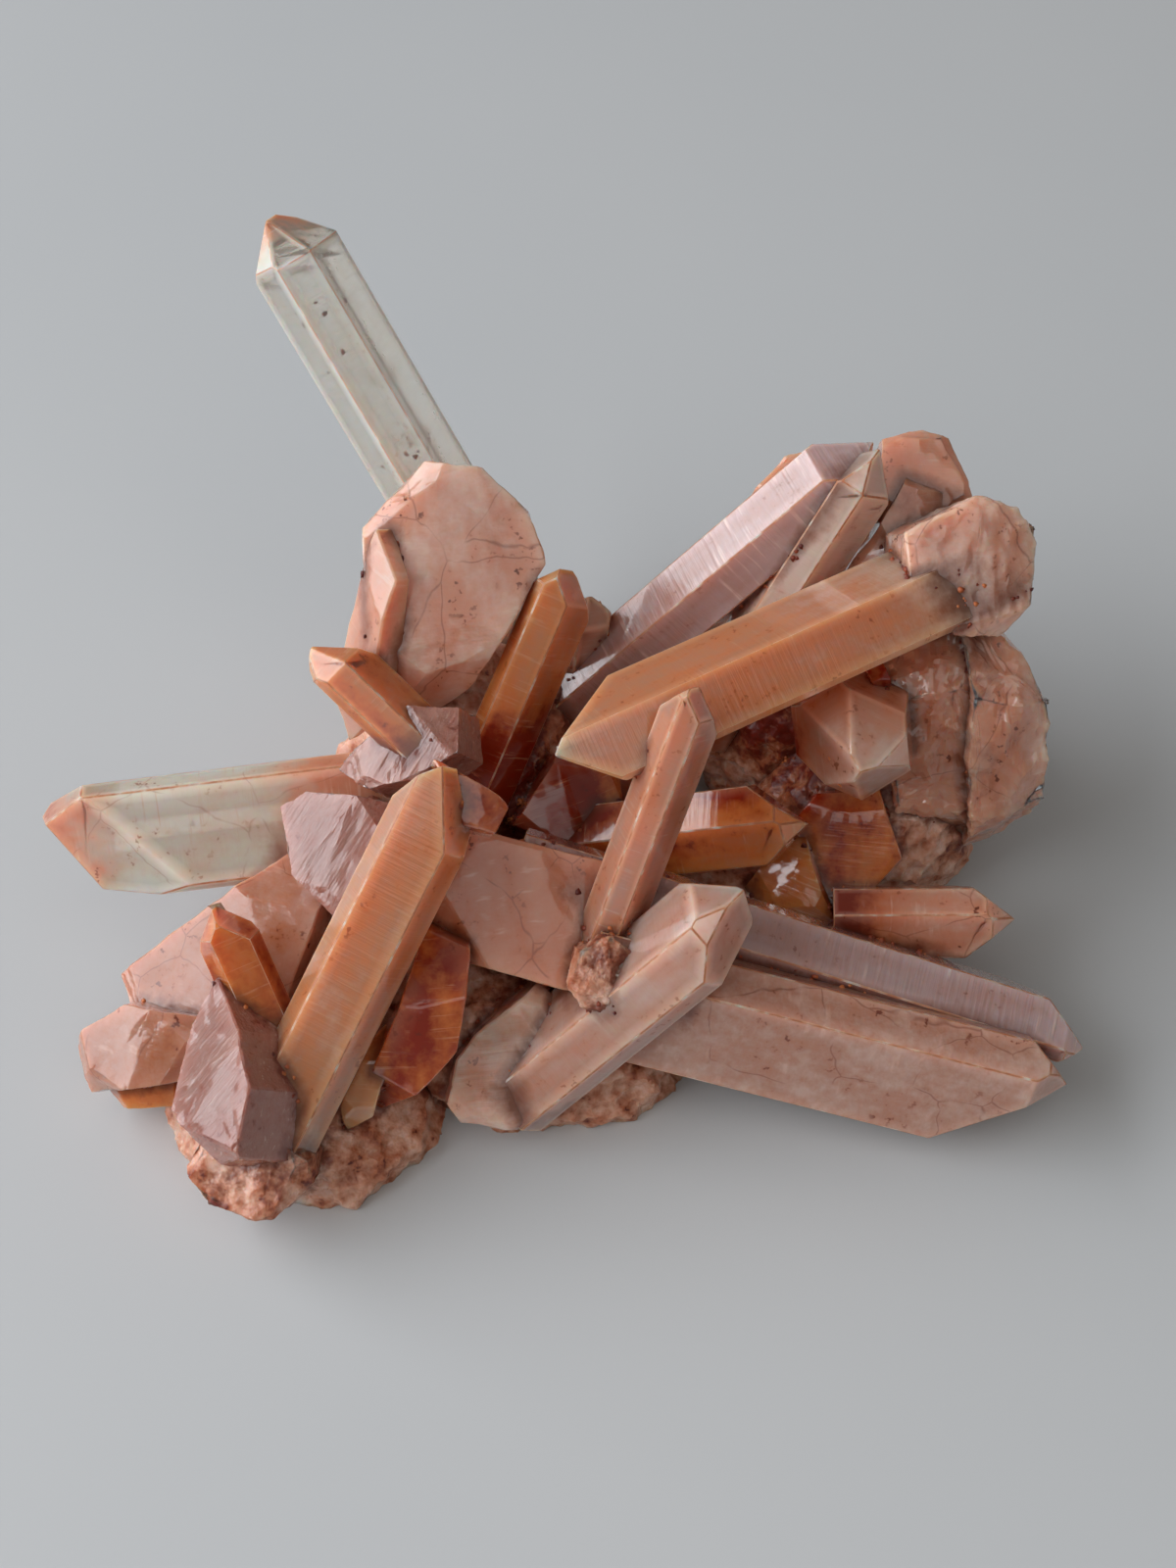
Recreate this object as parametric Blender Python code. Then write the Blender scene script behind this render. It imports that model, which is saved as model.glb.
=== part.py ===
# Cluster of hematoid (iron-stained) quartz: long six-sided points and broken slabs, all grown together.
# The stone is one solid. Each point and slab is made on its own and then united with the rough quartz under them.
# Sizes are millimetres until a mesh is made. The origin is under the middle of the cluster, on its flat foot.

import math
import random

import bmesh
import bpy
from mathutils import Vector

MM = 0.001
NAME = "quartz_cluster"

# Slope of the rhombohedral end faces of quartz, measured from the plane across the point.
END_SLOPE = 51.8
# The first prism face of every point is the one turned most to the front of the cluster and up at this angle.
FRONT_TILT = 50.0
# The shift that brings the middle of the cluster's box over the origin.
CENTRE = (-0.19, 0.46)

# Long six-sided points. root and tip are the ends of the axis. faces are the distances of the six prism faces from
# it: the front one first, then round by the right. turn rolls the point about its axis. ends says how far below the
# tip each end face starts: a negative one starts beyond the tip, and None is a face that didn't grow.
# cuts are further end faces, and breaks are where the root end broke off, each as (clock angle, slope, distance).
POINTS = {
    "tall_spire": dict(root=(-1.0, 16.0, 15.0), tip=(-29.5, 41.0, 60.0), turn=3,
                       faces=(4.7, 3.4, 5.3, 4.8, 4.0, 4.6), ends=(0.0, 1.6, -1.0, 0.1, 1.2, -0.4)),
    "upper_amber_point": dict(root=(-10.5, -5.5, 15.5), tip=(1.5, 11.0, 38.0), turn=5,
                              faces=(3.5, 2.4, 3.8, 3.5, 2.0, 3.7), ends=(-4.2, 0.0, -0.5, 0.0, 0.0, -2.8)),
    "small_grey_point": dict(root=(1.0, 11.5, 12.0), tip=(3.5, 14.5, 32.0), turn=30,
                             faces=(2.1, 2.3, 1.4, 2.9, 2.3, 2.7), ends=(1.0, 0.0, 1.0, 1.0, 0.0, 0.5)),
    "silver_point": dict(root=(0.0, 11.5, 17.0), tip=(31.5, 21.0, 46.0), turn=25,
                         faces=(4.5, 4.1, 3.0, 5.5, 3.6, 4.2), ends=(-2.0, 0.0, 0.0, -1.0, 0.0, 0.0)),
    "pink_back_point": dict(root=(15.0, 9.5, 15.0), tip=(33.0, 20.0, 47.0), turn=-5,
                            faces=(4.5, 3.0, 2.7, 4.5, 3.0, 4.0), ends=(-1.0, 1.0, 2.0, 2.0, 1.0, 0.0)),
    "long_beam": dict(root=(46.0, 15.0, 37.0), tip=(0.5, -9.5, 34.0), turn=0,
                      faces=(5.5, 3.7, 4.9, 5.5, 2.0, 6.6), ends=(None, None, 1.4, 4.5, 0.9, -5.5),
                      breaks=((90, 36, -1.5), (-90, 29, 0.5), (-90, 72, -12.0), (180, 50, -3.0))),
    "lilac_tip_point": dict(root=(34.0, 15.0, 19.0), tip=(29.0, -10.0, 31.0), turn=0,
                            faces=(5.0, 6.8, 7.2, 5.0, 4.4, 4.4), ends=(1.0, 0.0, 1.0, 0.0, 1.0, 0.0)),
    "orange_stub": dict(root=(-12.5, -6.0, 31.0), tip=(-23.0, 1.0, 38.5), turn=0,
                        faces=(3.2, 1.9, 3.2, 3.2, 2.0, 3.6), ends=(-0.5, 1.0, 1.0, 0.0, -1.0, -2.0)),
    "left_point": dict(root=(-12.0, -2.0, 18.5), tip=(-51.0, -7.0, 17.0), turn=-8,
                       faces=(5.0, 6.7, 3.6, 5.0, 3.4, 7.0), ends=(-4.6, -4.6, -4.6, 0.0, None, None),
                       cuts=((-25, 72, -5.9), (-90, 33, 0.9))),
    "front_left_point": dict(root=(-29.5, -38.5, 4.0), tip=(-9.0, -12.0, 35.0), turn=0,
                             faces=(4.5, 4.5, 3.0, 4.5, 2.8, 4.7), ends=(-6.0, None, 1.5, 2.0, 1.5, -7.0),
                             cuts=((60, 66, -2.8),)),
    "small_amber_point": dict(root=(-25.5, -30.5, 9.5), tip=(-32.0, -21.0, 24.0), turn=5,
                              faces=(3.2, 3.2, 1.8, 3.3, 2.4, 3.0), ends=(-3.6, -1.4, -0.5, 0.0, -0.5, -2.4)),
    "centre_point": dict(root=(1.0, -24.0, 7.0), tip=(13.5, -9.0, 43.0), turn=0,
                         faces=(3.0, 2.3, 2.9, 3.0, 2.5, 2.7), ends=(-4.0, -0.4, 0.8, 1.0, 0.2, -2.6)),
    "clear_point": dict(root=(-4.5, -28.0, 4.5), tip=(18.0, -21.5, 28.0), turn=0,
                        faces=(4.5, 5.3, 3.4, 4.5, 4.8, 3.3), ends=(-0.9, 0.8, -1.5, 0.0, -0.7, 0.0)),
    "amber_block": dict(root=(1.0, -3.5, 12.0), tip=(24.0, -6.5, 20.0), turn=30,
                        faces=(3.4, 4.1, 2.7, 4.6, 4.1, 3.7), ends=(-3.5, -2.0, -1.0, 0.0, -1.0, -3.4)),
    "right_small_point": dict(root=(28.0, -12.5, 11.5), tip=(45.0, -13.5, 13.0), turn=30,
                              faces=(3.4, 3.9, 2.5, 4.6, 3.2, 4.0), ends=(-3.0, -1.0, 0.0, 0.0, -1.0, -3.2)),
    "right_strip_point": dict(root=(-4.0, -12.0, 20.5), tip=(51.0, -25.0, 9.0), turn=35,
                              faces=(3.8, 2.6, 3.2, 5.2, 3.0, 2.7), ends=(-3.9, -2.0, 0.0, 0.5, -0.2, -2.2)),
    "right_long_point": dict(root=(-2.0, -21.5, 14.5), tip=(49.0, -30.5, 5.0), turn=35,
                             faces=(4.7, 5.9, 4.5, 7.3, 6.5, 7.8), ends=(-2.0, 4.0, 3.0, 0.0, -3.5, -7.0)),
    "back_point_left": dict(root=(-4.0, 6.0, 12.0), tip=(-15.0, 34.0, 21.0), turn=10,
                            faces=(4.8, 5.6, 4.6, 5.0, 5.2, 4.4), ends=(0.0, 1.0, -0.5, 0.5, 1.5, 0.0)),
    "back_point_middle": dict(root=(2.0, 6.0, 10.0), tip=(8.0, 33.0, 8.0), turn=20,
                              faces=(5.6, 6.4, 5.2, 6.0, 5.0, 5.8), ends=(0.0, 2.0, -1.0, 0.0, 1.0, 0.0)),
    "back_point_right": dict(root=(22.0, 12.0, 14.0), tip=(34.0, 38.0, 19.0), turn=0,
                             faces=(5.0, 4.4, 5.2, 5.0, 5.6, 4.2), ends=(1.0, 0.0, 0.0, -1.0, 0.0, 1.5)),
    "back_point_low": dict(root=(-6.0, 10.0, 6.0), tip=(-5.0, 38.0, 5.0), turn=30,
                           faces=(4.0, 4.4, 3.6, 4.2, 3.8, 4.4), ends=(0.0, 0.5, 0.0, 1.0, 0.0, -0.5)),
    "back_point_far_right": dict(root=(32.0, 6.0, 8.0), tip=(46.0, 27.0, 15.0), turn=15,
                                 faces=(4.4, 3.8, 4.6, 4.2, 4.0, 4.6), ends=(0.0, 1.0, 0.0, 0.5, -0.5, 0.0)),
    "back_point_far_left": dict(root=(-12.0, 4.0, 7.0), tip=(-27.0, 11.0, 5.0), turn=0,
                                faces=(3.2, 3.6, 3.0, 3.4, 3.6, 3.0), ends=(0.0, 0.5, 0.0, 0.0, 1.0, 0.0)),
}

# Broken slabs and blocks. facing is the way the broad face looks. sides are (clock angle, distance) of its edges as
# seen from in front, with 0 to the right and 90 up.
SLABS = {
    "upright_slab": dict(centre=(-11.5, 10.5, 36.5), facing=(0.10, -0.72, 0.68), thick=9.0,
                         sides=((-114, 13.0), (-58, 9.7), (-37, 7.5), (13, 10.2), (42, 11.0), (78, 11.8),
                                (131, 9.6), (178, 7.6))),
    "upright_side": dict(centre=(-18.5, 4.0, 34.0), facing=(-0.80, -0.45, 0.40), thick=3.0,
                         sides=((-167, 2.7), (-31, 6.5), (21, 3.2), (67, 8.0))),
    "rough_lilac_block": dict(centre=(-14.0, -6.5, 30.0), facing=(-0.35, -0.45, 0.82), thick=7.0,
                              sides=((-51, 3.2), (-28, 3.4), (38, 5.8), (120, 4.2), (157, 3.0), (-90, 4.8))),
    "triangle_plate": dict(centre=(-21.0, -13.0, 24.0), facing=(-0.30, -0.40, 0.86), thick=6.0,
                           sides=((-103, 4.9), (6, 4.1), (113, 4.6), (150, 5.9), (-133, 4.4))),
    "left_pink_slab": dict(centre=(-32.0, -19.0, 10.5), facing=(-0.25, -0.55, 0.80), thick=9.0,
                           sides=((-138, 10.4), (-70, 9.9), (0, 7.0), (76, 13.6), (145, 6.7))),
    "left_pink_lobe": dict(centre=(-40.5, -25.5, 8.0), facing=(-0.25, -0.60, 0.76), thick=9.0,
                           sides=((136, 4.1), (162, 5.3), (-150, 6.3), (-65, 3.8), (1, 5.9), (98, 4.1))),
    "sparkling_block": dict(centre=(-29.5, -33.5, 14.0), facing=(-0.62, -0.35, 0.70), thick=9.0,
                            sides=((-141, 4.6), (-87, 5.7), (-31, 7.8), (33, 5.1), (67, 4.5), (88, 5.3),
                                   (-162, 5.9))),
    "low_amber_block": dict(centre=(-40.5, -27.5, 5.0), facing=(-0.20, -0.75, 0.62), thick=6.0,
                            sides=((-121, 3.0), (-76, 2.1), (7, 3.4), (107, 1.9), (-167, 4.0))),
    "orange_chip": dict(centre=(-8.0, -14.0, 32.0), facing=(0.20, -0.50, 0.84), thick=4.0,
                        sides=((-119, 2.6), (-47, 3.3), (15, 2.6), (43, 1.6), (-175, 1.9))),
    "left_block": dict(centre=(-2.0, -16.0, 17.5), facing=(0.15, -0.62, 0.77), thick=9.0,
                       sides=((-116, 6.6), (-49, 8.7), (65, 6.3), (148, 9.5))),
    "lower_orange_face": dict(centre=(-12.5, -26.5, 12.5), facing=(0.05, -0.85, 0.52), thick=10.0,
                              sides=((156, 4.1), (-82, 9.0), (-11, 2.8), (-45, 2.3), (70, 9.7))),
    "small_pale_block": dict(centre=(-18.0, -30.0, 10.0), facing=(-0.10, -0.80, 0.60), thick=6.0,
                             sides=((164, 1.6), (-167, 3.2), (-52, 3.3), (-13, 1.5), (26, 4.5), (140, 2.4))),
    "pale_lobe": dict(centre=(-4.0, -26.5, 7.0), facing=(0.10, -0.70, 0.70), thick=8.0,
                      sides=((121, 5.2), (137, 5.4), (163, 6.2), (-154, 8.0), (-100, 6.2), (-61, 5.6),
                             (2, 6.3), (42, 7.3))),
    "rust_bump": dict(centre=(12.5, -24.0, 11.5), facing=(0.20, -0.69, 0.69), thick=4.0,
                      sides=((-87, 1.7), (-17, 2.8), (43, 2.3), (92, 1.9), (137, 2.2), (-113, 2.0))),
    "inner_brown_slab": dict(centre=(1.0, -0.5, 14.5), facing=(0.30, -0.60, 0.75), thick=8.0,
                             sides=((-137, 4.4), (-81, 5.5), (-20, 4.9), (53, 4.8), (128, 4.9))),
    "inner_amber_panel": dict(centre=(29.0, -4.0, 12.0), facing=(-0.10, -0.75, 0.65), thick=8.0,
                              sides=((-174, 5.3), (-111, 7.3), (-35, 5.1), (24, 6.1), (100, 6.5), (146, 5.8))),
    "inner_amber_wedge": dict(centre=(25.0, -7.0, 10.5), facing=(-0.35, -0.65, 0.67), thick=7.0,
                              sides=((-89, 2.8), (40, 2.8), (158, 3.6))),
    "right_slab_left": dict(centre=(38.5, 3.0, 22.0), facing=(0.05, -0.93, 0.36), thick=8.0,
                            sides=((-166, 5.3), (-92, 14.3), (-4, 5.0), (9, 5.3), (110, 12.2))),
    "right_slab_right": dict(centre=(44.5, 2.5, 22.0), facing=(0.22, -0.91, 0.36), thick=8.0,
                             sides=((-173, 4.3), (-74, 11.5), (0, 4.4), (32, 7.0), (73, 13.7), (176, 3.9))),
    "back_right_lump": dict(centre=(37.0, 24.5, 37.0), facing=(0.00, -0.60, 0.80), thick=9.0,
                            sides=((-90, 4.4), (-56, 4.8), (20, 4.4), (76, 5.0), (102, 4.9), (176, 4.2))),
    "back_right_block": dict(centre=(35.5, 20.5, 35.5), facing=(0.15, -0.65, 0.75), thick=8.0,
                             sides=((-75, 2.7), (37, 5.2), (65, 4.1), (140, 2.7))),
    "back_left_lump": dict(centre=(25.0, 26.0, 34.5), facing=(-0.20, -0.50, 0.84), thick=8.0,
                           sides=((-75, 3.3), (-3, 3.5), (120, 3.0), (156, 2.6), (-165, 5.9))),
}

# Rough quartz that everything grew from: centre and half sizes of each lump.
LUMPS = {
    "front_left": ((-26, -26, 1), (14.5, 14.2, 8)),
    "front": ((-3, -18.5, 1), (19, 12.5, 10)),
    "middle": ((11, -6, 1), (26, 16, 10)),
    "back_left": ((-9, 9, 6), (16, 13, 21)),
    "left": ((-18, -6, 9), (13, 12, 15)),
    "right": ((33, 3, 6), (14, 12, 14)),
    "back_right": ((28, 16, 12), (14, 11, 20)),
}
# Number of broken faces on a lump, and the least part of its half size that each one leaves.
LUMP_CHIPS = 34
LUMP_LEAST = 0.84

# A box this wide takes away all that lies below the table.
GROUND = 200.0


def new_object(name, bm, collection):
    """Object of a mesh in millimetres, moved to the shared origin and brought to metres."""
    for v in bm.verts:
        v.co = Vector((v.co.x - CENTRE[0], v.co.y - CENTRE[1], v.co.z)) * MM
    bmesh.ops.recalc_face_normals(bm, faces=bm.faces[:])
    mesh = bpy.data.meshes.new(name)
    bm.to_mesh(mesh)
    bm.free()
    obj = bpy.data.objects.new(name, mesh)
    collection.objects.link(obj)
    return obj


def block(origin, right, up, depth):
    """Box mesh about an origin, with its three full edges given as vectors."""
    bm = bmesh.new()
    bmesh.ops.create_cube(bm, size=1.0)
    for v in bm.verts:
        v.co = origin + right * v.co.x + up * v.co.y + depth * v.co.z
    return bm


def shave(bm, point, normal):
    """Cut away what lies beyond a plane and close the cut."""
    geom = bm.verts[:] + bm.edges[:] + bm.faces[:]
    cut = bmesh.ops.bisect_plane(bm, geom=geom, dist=0.001, plane_co=point, plane_no=normal, clear_outer=True)
    edges = [g for g in cut["geom_cut"] if isinstance(g, bmesh.types.BMEdge)]
    if len(edges) > 2:
        bmesh.ops.edgeloop_fill(bm, edges=edges)


def point_frame(root, tip):
    """Axis, front and side directions of a point."""
    axis = (tip - root).normalized()
    tilt = math.radians(FRONT_TILT)
    out = Vector((0.0, -math.cos(tilt), math.sin(tilt)))
    front = (out - axis * out.dot(axis)).normalized()
    return axis, front, axis.cross(front)


def quartz_point(root, tip, turn, faces, ends, cuts=(), breaks=()):
    """Six-sided prism with its rhombohedral end, and with its root end broken off if breaks are given."""
    root, tip = Vector(root), Vector(tip)
    axis, front, side = point_frame(root, tip)
    reach = 6 * max(faces)
    bm = block((root + tip) / 2, side * reach, front * reach, tip - root + axis * reach)

    def outward(clock):
        angle = math.radians(clock)
        return front * math.cos(angle) + side * math.sin(angle)

    shave(bm, root, -axis)
    for i, distance in enumerate(faces):
        direction = outward(turn + 60 * i)
        shave(bm, root + direction * distance, direction)
    rhombs = [(turn + 60 * i, END_SLOPE, below) for i, below in enumerate(ends) if below is not None]
    for clock, slope, below in rhombs + list(cuts):
        slope = math.radians(slope)
        shave(bm, tip - axis * below, outward(clock) * math.sin(slope) + axis * math.cos(slope))
    for clock, slope, above in breaks:
        slope = math.radians(slope)
        shave(bm, root + axis * above, outward(clock) * math.sin(slope) - axis * math.cos(slope))
    return bm


def broken_slab(centre, facing, thick, sides):
    """Flat slab cut to a many-sided outline."""
    centre = Vector(centre)
    facing = Vector(facing).normalized()
    up = (Vector((0, 0, 1)) - facing * facing.z).normalized()
    right = up.cross(facing)
    reach = 6 * max(distance for _, distance in sides)
    bm = block(centre, right * reach, up * reach, facing * thick)
    for clock, distance in sides:
        angle = math.radians(clock)
        outward = right * math.cos(angle) + up * math.sin(angle)
        shave(bm, centre + outward * distance, outward)
    return bm


def rough_lump(centre, size, seed):
    """Rough stone that fills its half sizes: a block with a broken face in each of many even directions."""
    centre, size = Vector(centre), Vector(size)
    x, y, z = Vector((2 * size.x, 0, 0)), Vector((0, 2 * size.y, 0)), Vector((0, 0, 2 * size.z))
    bm = block(centre, x, y, z)
    chance = random.Random(seed)
    for i in range(LUMP_CHIPS):
        height = 1 - (2 * i + 1) / LUMP_CHIPS
        turn = i * math.pi * (3 - math.sqrt(5))
        level = math.sqrt(1 - height * height)
        out = Vector((level * math.cos(turn), level * math.sin(turn), height))
        left = out * chance.uniform(LUMP_LEAST, 1.0)
        shave(bm, centre + left * size, Vector([out[k] / size[k] for k in range(3)]))
    return bm


def stone_material():
    material = bpy.data.materials.new("iron_stained_quartz")
    material.use_nodes = True
    shader = material.node_tree.nodes["Principled BSDF"]
    shader.inputs["Base Color"].default_value = (0.58, 0.28, 0.19, 1.0)
    shader.inputs["Roughness"].default_value = 0.25
    shader.inputs["Metallic"].default_value = 0.0
    return material


def join(base, operation, operand):
    """Boolean modifier of the stone with one object or with a whole collection."""
    boolean = base.modifiers.new(operation.lower(), "BOOLEAN")
    boolean.operation = operation
    if isinstance(operand, bpy.types.Collection):
        boolean.operand_type = "COLLECTION"
        boolean.collection = operand
    else:
        boolean.object = operand


def main():
    for obj in list(bpy.data.objects):
        bpy.data.objects.remove(obj, do_unlink=True)
    stone = bpy.data.collections.new("hematoid_quartz")
    growth = bpy.data.collections.new("growth")
    cutters = bpy.data.collections.new("cutters")
    for collection in (stone, growth, cutters):
        bpy.context.scene.collection.children.link(collection)

    lumps = {name: rough_lump(centre, size, seed) for seed, (name, (centre, size)) in enumerate(LUMPS.items())}
    base = new_object(NAME, lumps.pop("front"), stone)
    base.data.materials.append(stone_material())
    for name, lump in lumps.items():
        new_object("lump_" + name, lump, growth)
    for name, values in POINTS.items():
        new_object(name, quartz_point(**values), growth)
    for name, values in SLABS.items():
        new_object(name, broken_slab(**values), growth)
    x, y, z = Vector((GROUND, 0, 0)), Vector((0, GROUND, 0)), Vector((0, 0, GROUND))
    ground = new_object("ground", block(-z / 2, x, y, z), cutters)

    join(base, "UNION", growth)
    join(base, "DIFFERENCE", ground)
    for guide in list(growth.objects) + [ground]:
        guide.hide_render = True
        guide.display_type = "WIRE"


main()
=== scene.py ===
# Hematoid quartz cluster: the looks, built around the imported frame.
# Shapes are drawn in millimetres and brought to the frame's metres when each piece is finished.
import math
import random

import bpy
from mathutils import Matrix, Vector, noise
from mathutils.bvhtree import BVHTree


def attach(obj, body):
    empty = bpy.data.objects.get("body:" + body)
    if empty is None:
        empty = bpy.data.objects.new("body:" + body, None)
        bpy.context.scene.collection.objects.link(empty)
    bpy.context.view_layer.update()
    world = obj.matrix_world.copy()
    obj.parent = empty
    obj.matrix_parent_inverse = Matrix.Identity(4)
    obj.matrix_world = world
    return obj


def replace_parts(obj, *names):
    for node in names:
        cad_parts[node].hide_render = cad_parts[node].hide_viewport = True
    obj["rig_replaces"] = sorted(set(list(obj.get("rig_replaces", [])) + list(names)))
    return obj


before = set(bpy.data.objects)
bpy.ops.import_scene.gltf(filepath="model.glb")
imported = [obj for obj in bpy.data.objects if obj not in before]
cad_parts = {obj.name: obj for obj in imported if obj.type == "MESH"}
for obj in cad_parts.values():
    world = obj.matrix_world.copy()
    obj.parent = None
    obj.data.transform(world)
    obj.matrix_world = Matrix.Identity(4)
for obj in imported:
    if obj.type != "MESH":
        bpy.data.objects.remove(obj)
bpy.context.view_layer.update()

stone = "quartz_cluster"                      # the one node that every piece here stands for
metresPerMm = 0.001
clusterMiddle = Vector((-0.19, 0.46, 0.0))    # mm, comes over the frame's origin
quartzIor = 1.544
rhombSlope = math.radians(51.8)               # quartz end faces, from the plane across the point
frontTilt = math.radians(50)                  # the first prism face looks to the front and up at this angle

# wear of points and slabs, and what is sealed in the points: millimetres, degrees and shares
pointWear = {"edge": 0.13, "narrow": 0.45, "zones": (1.1, 0.45), "wide": 1.3, "ring": 1.6}
brokenEnd = {"facing": 0.4, "rounds": 2, "cuts": 4, "layers": (1.6, 1.2, 0.6)}
slabWear = {"edge": 0.14, "rough": 0.16, "flakes": 6, "turn": 137.5, "stray": 40, "steep": (18, 48), "shallow": 7,
            "rim": (0.72, 0.95), "inner": 0.2, "floor": 0.3, "core": 2.2, "fineness": 3, "smooth": 16,
            "layers": (1.6, 0.6, 0.5), "splinters": (0, 0.25, 1.0), "drawn": 9}
veilLook = {"stray": (0.2, 0.8), "share": 0.86, "start": 0.05, "lean": (0.2, 1.6), "off": (0, 0.4),
            "long": (0.45, 0.85), "broad": (0.3, 0.7), "thick": 0.3}
fleckLook = {"share": (0.03, 0.93), "wide": (0.12, 0.5), "off": (0.35, 0.86), "lean": 0.7, "narrow": 0.5,
             "thick": 0.25}
worldAxes = (Vector((1, 0, 0)), Vector((0, 1, 0)), Vector((0, 0, 1)))


# small tools of the bench


def fromHex(text):
    # sRGB hex to the linear colour that a socket takes
    parts = [int(text[i:i + 2], 16) / 255 for i in (1, 3, 5)]
    return tuple(c / 12.92 if c <= 0.04045 else ((c + 0.055) / 1.055) ** 2.4 for c in parts) + (1.0,)


def addNode(tree, kind, settings=None, links=None):
    # kind may be a node that is already there; a node as a source stands for its first output
    node = tree.nodes.new("ShaderNode" + kind) if isinstance(kind, str) else kind
    for key, value in (settings or {}).items():
        if key == "stops":                            # colour ramp: places and colours
            while len(node.color_ramp.elements) < len(value):
                node.color_ramp.elements.new(1.0)
            for element, (place, colour) in zip(node.color_ramp.elements, value):
                element.position = place
                element.color = fromHex(colour)
        elif isinstance(key, int) or key in node.inputs:
            node.inputs[key].default_value = value
        else:
            setattr(node, key, value)
    for key, source in (links or {}).items():
        tree.links.new(getattr(source, "outputs", (source,))[0], node.inputs[key])
    return node


def clearSelection():
    if bpy.context.object and bpy.context.object.mode != "OBJECT":
        bpy.ops.object.mode_set(mode="OBJECT")
    bpy.ops.object.select_all(action="DESELECT")


def addBlock(name, centre, right, up, depth):
    # a box whose full edges are the three vectors
    clearSelection()
    x, y = right.normalized(), up.normalized()
    turn = Matrix((x, y, x.cross(y))).transposed()
    bpy.ops.mesh.primitive_cube_add(size=1, location=centre, rotation=turn.to_euler(),
                                    scale=(right.length, up.length, depth.length))
    bpy.ops.object.transform_apply(location=True, rotation=True, scale=True)
    piece = bpy.context.object
    piece.name = piece.data.name = name
    bpy.ops.object.mode_set(mode="EDIT")
    return piece


def shave(point, outward):
    # in edit mode: cut off what lies beyond a plane and close the cut
    bpy.ops.mesh.select_all(action="SELECT")
    bpy.ops.mesh.bisect(plane_co=point, plane_no=outward, use_fill=True, clear_outer=True, threshold=0.0005)


def softenEdges(width, sharpness=12, segments=2):
    bpy.ops.mesh.select_all(action="DESELECT")
    bpy.ops.mesh.edges_select_sharp(sharpness=math.radians(sharpness))
    bpy.ops.mesh.bevel(offset=width, segments=segments, affect="EDGES", clamp_overlap=True)


def applyModifier(piece, kind, settings):
    modifier = piece.modifiers.new(kind.lower(), kind)
    for key, value in settings.items():
        setattr(modifier, key, value)
    bpy.ops.object.modifier_apply(modifier=modifier.name)


def reliefTexture(name, kind, size, depth=2):
    # texture for Displace, its size in millimetres
    texture = bpy.data.textures.new(name, kind)
    texture.noise_scale = size
    if kind == "CLOUDS":
        texture.noise_depth = depth
    return texture


def pushIn(piece, shares, strength, extra):
    # relief in millimetres: shares of the strength for the broad, sharp and fine breaks
    for texture, share in zip((broadBreak, sharpBreak, fineBreak), shares):
        if share:
            applyModifier(piece, "DISPLACE", {"texture": texture, "strength": strength * share, "mid_level": 0.5,
                                              "texture_coords": "LOCAL", **extra})


def stainAt(stops, share):
    # stops are (share of the length, stain), from the root up
    share = min(max(share, stops[0][0]), stops[-1][0])
    for (low, first), (high, last) in zip(stops, stops[1:]):
        if share <= high:
            return first + (last - first) * (share - low) / (high - low)
    return stops[-1][1]


def finishPiece(piece, material, origin, right, up, along, stain, reach=1.0):
    # the mesh gets its own measures for the patterns, then goes to its place in metres
    clearSelection()
    piece.select_set(True)
    bpy.context.view_layer.objects.active = piece
    mesh = piece.data
    stops = stain if isinstance(stain, tuple) else ((0, stain), (1, stain))
    measures, stains = [], []
    for vertex in mesh.vertices:
        away = vertex.co - origin
        measures += (away.dot(right) + origin.x, away.dot(up) + origin.y, away.dot(along) + origin.z)
        stains.append(stainAt(stops, away.dot(along) / reach))
    if "core" not in mesh.attributes:
        mesh.attributes.new("core", "FLOAT", "POINT").data.foreach_set("value", [1.0] * len(mesh.vertices))
    mesh.attributes.new("grain", "FLOAT_VECTOR", "POINT").data.foreach_set("vector", measures)
    mesh.attributes.new("stain", "FLOAT", "POINT").data.foreach_set("value", stains)
    if not mesh.materials:
        mesh.materials.append(material)
    piece.location = -clusterMiddle * metresPerMm
    piece.scale = (metresPerMm,) * 3
    bpy.ops.object.transform_apply(location=True, rotation=True, scale=True)
    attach(piece, "root")
    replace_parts(piece, stone)


def frostAndGlintEdges(piece):
    # the narrow faces along the edges are worn white, with a painted highlight for the glints on the edges, so they
    # get a finish of their own
    for face in piece.data.polygons:
        around = sum((piece.data.vertices[a].co - piece.data.vertices[b].co).length for a, b in face.edge_keys)
        if face.area < pointWear["narrow"] * pointWear["edge"] * around:
            face.material_index = 1


def roughenFaces(piece, towards, strength):
    # the faces that look one way are broken: cut fine and pushed in and out
    bpy.ops.object.mode_set(mode="EDIT")
    bpy.ops.mesh.select_all(action="DESELECT")
    bpy.ops.object.mode_set(mode="OBJECT")
    for face in piece.data.polygons:
        face.select = face.normal.dot(towards) > brokenEnd["facing"]
    bpy.ops.object.mode_set(mode="EDIT")
    bpy.ops.mesh.select_mode(type="FACE")
    bpy.ops.mesh.quads_convert_to_tris()
    for cut in range(brokenEnd["rounds"]):
        bpy.ops.mesh.subdivide(number_cuts=brokenEnd["cuts"])
    bpy.ops.object.vertex_group_add()
    bpy.ops.object.vertex_group_assign()
    bpy.ops.mesh.select_mode(type="EDGE")
    bpy.ops.object.mode_set(mode="OBJECT")
    group = piece.vertex_groups.active.name
    pushIn(piece, brokenEnd["layers"], strength, {"vertex_group": group})
    piece.vertex_groups.clear()


def sealInside(kind, spot, facing, size, spin):
    # notes where a copy of the veil or the chip goes, turned and stretched
    turn = facing.to_track_quat("Z", "Y").to_matrix() @ Matrix.Rotation(math.radians(spin), 3, "Z")
    spot = (spot - clusterMiddle) * metresPerMm
    places[kind].append((spot, turn.to_euler(), [side * metresPerMm for side in size]))


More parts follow.
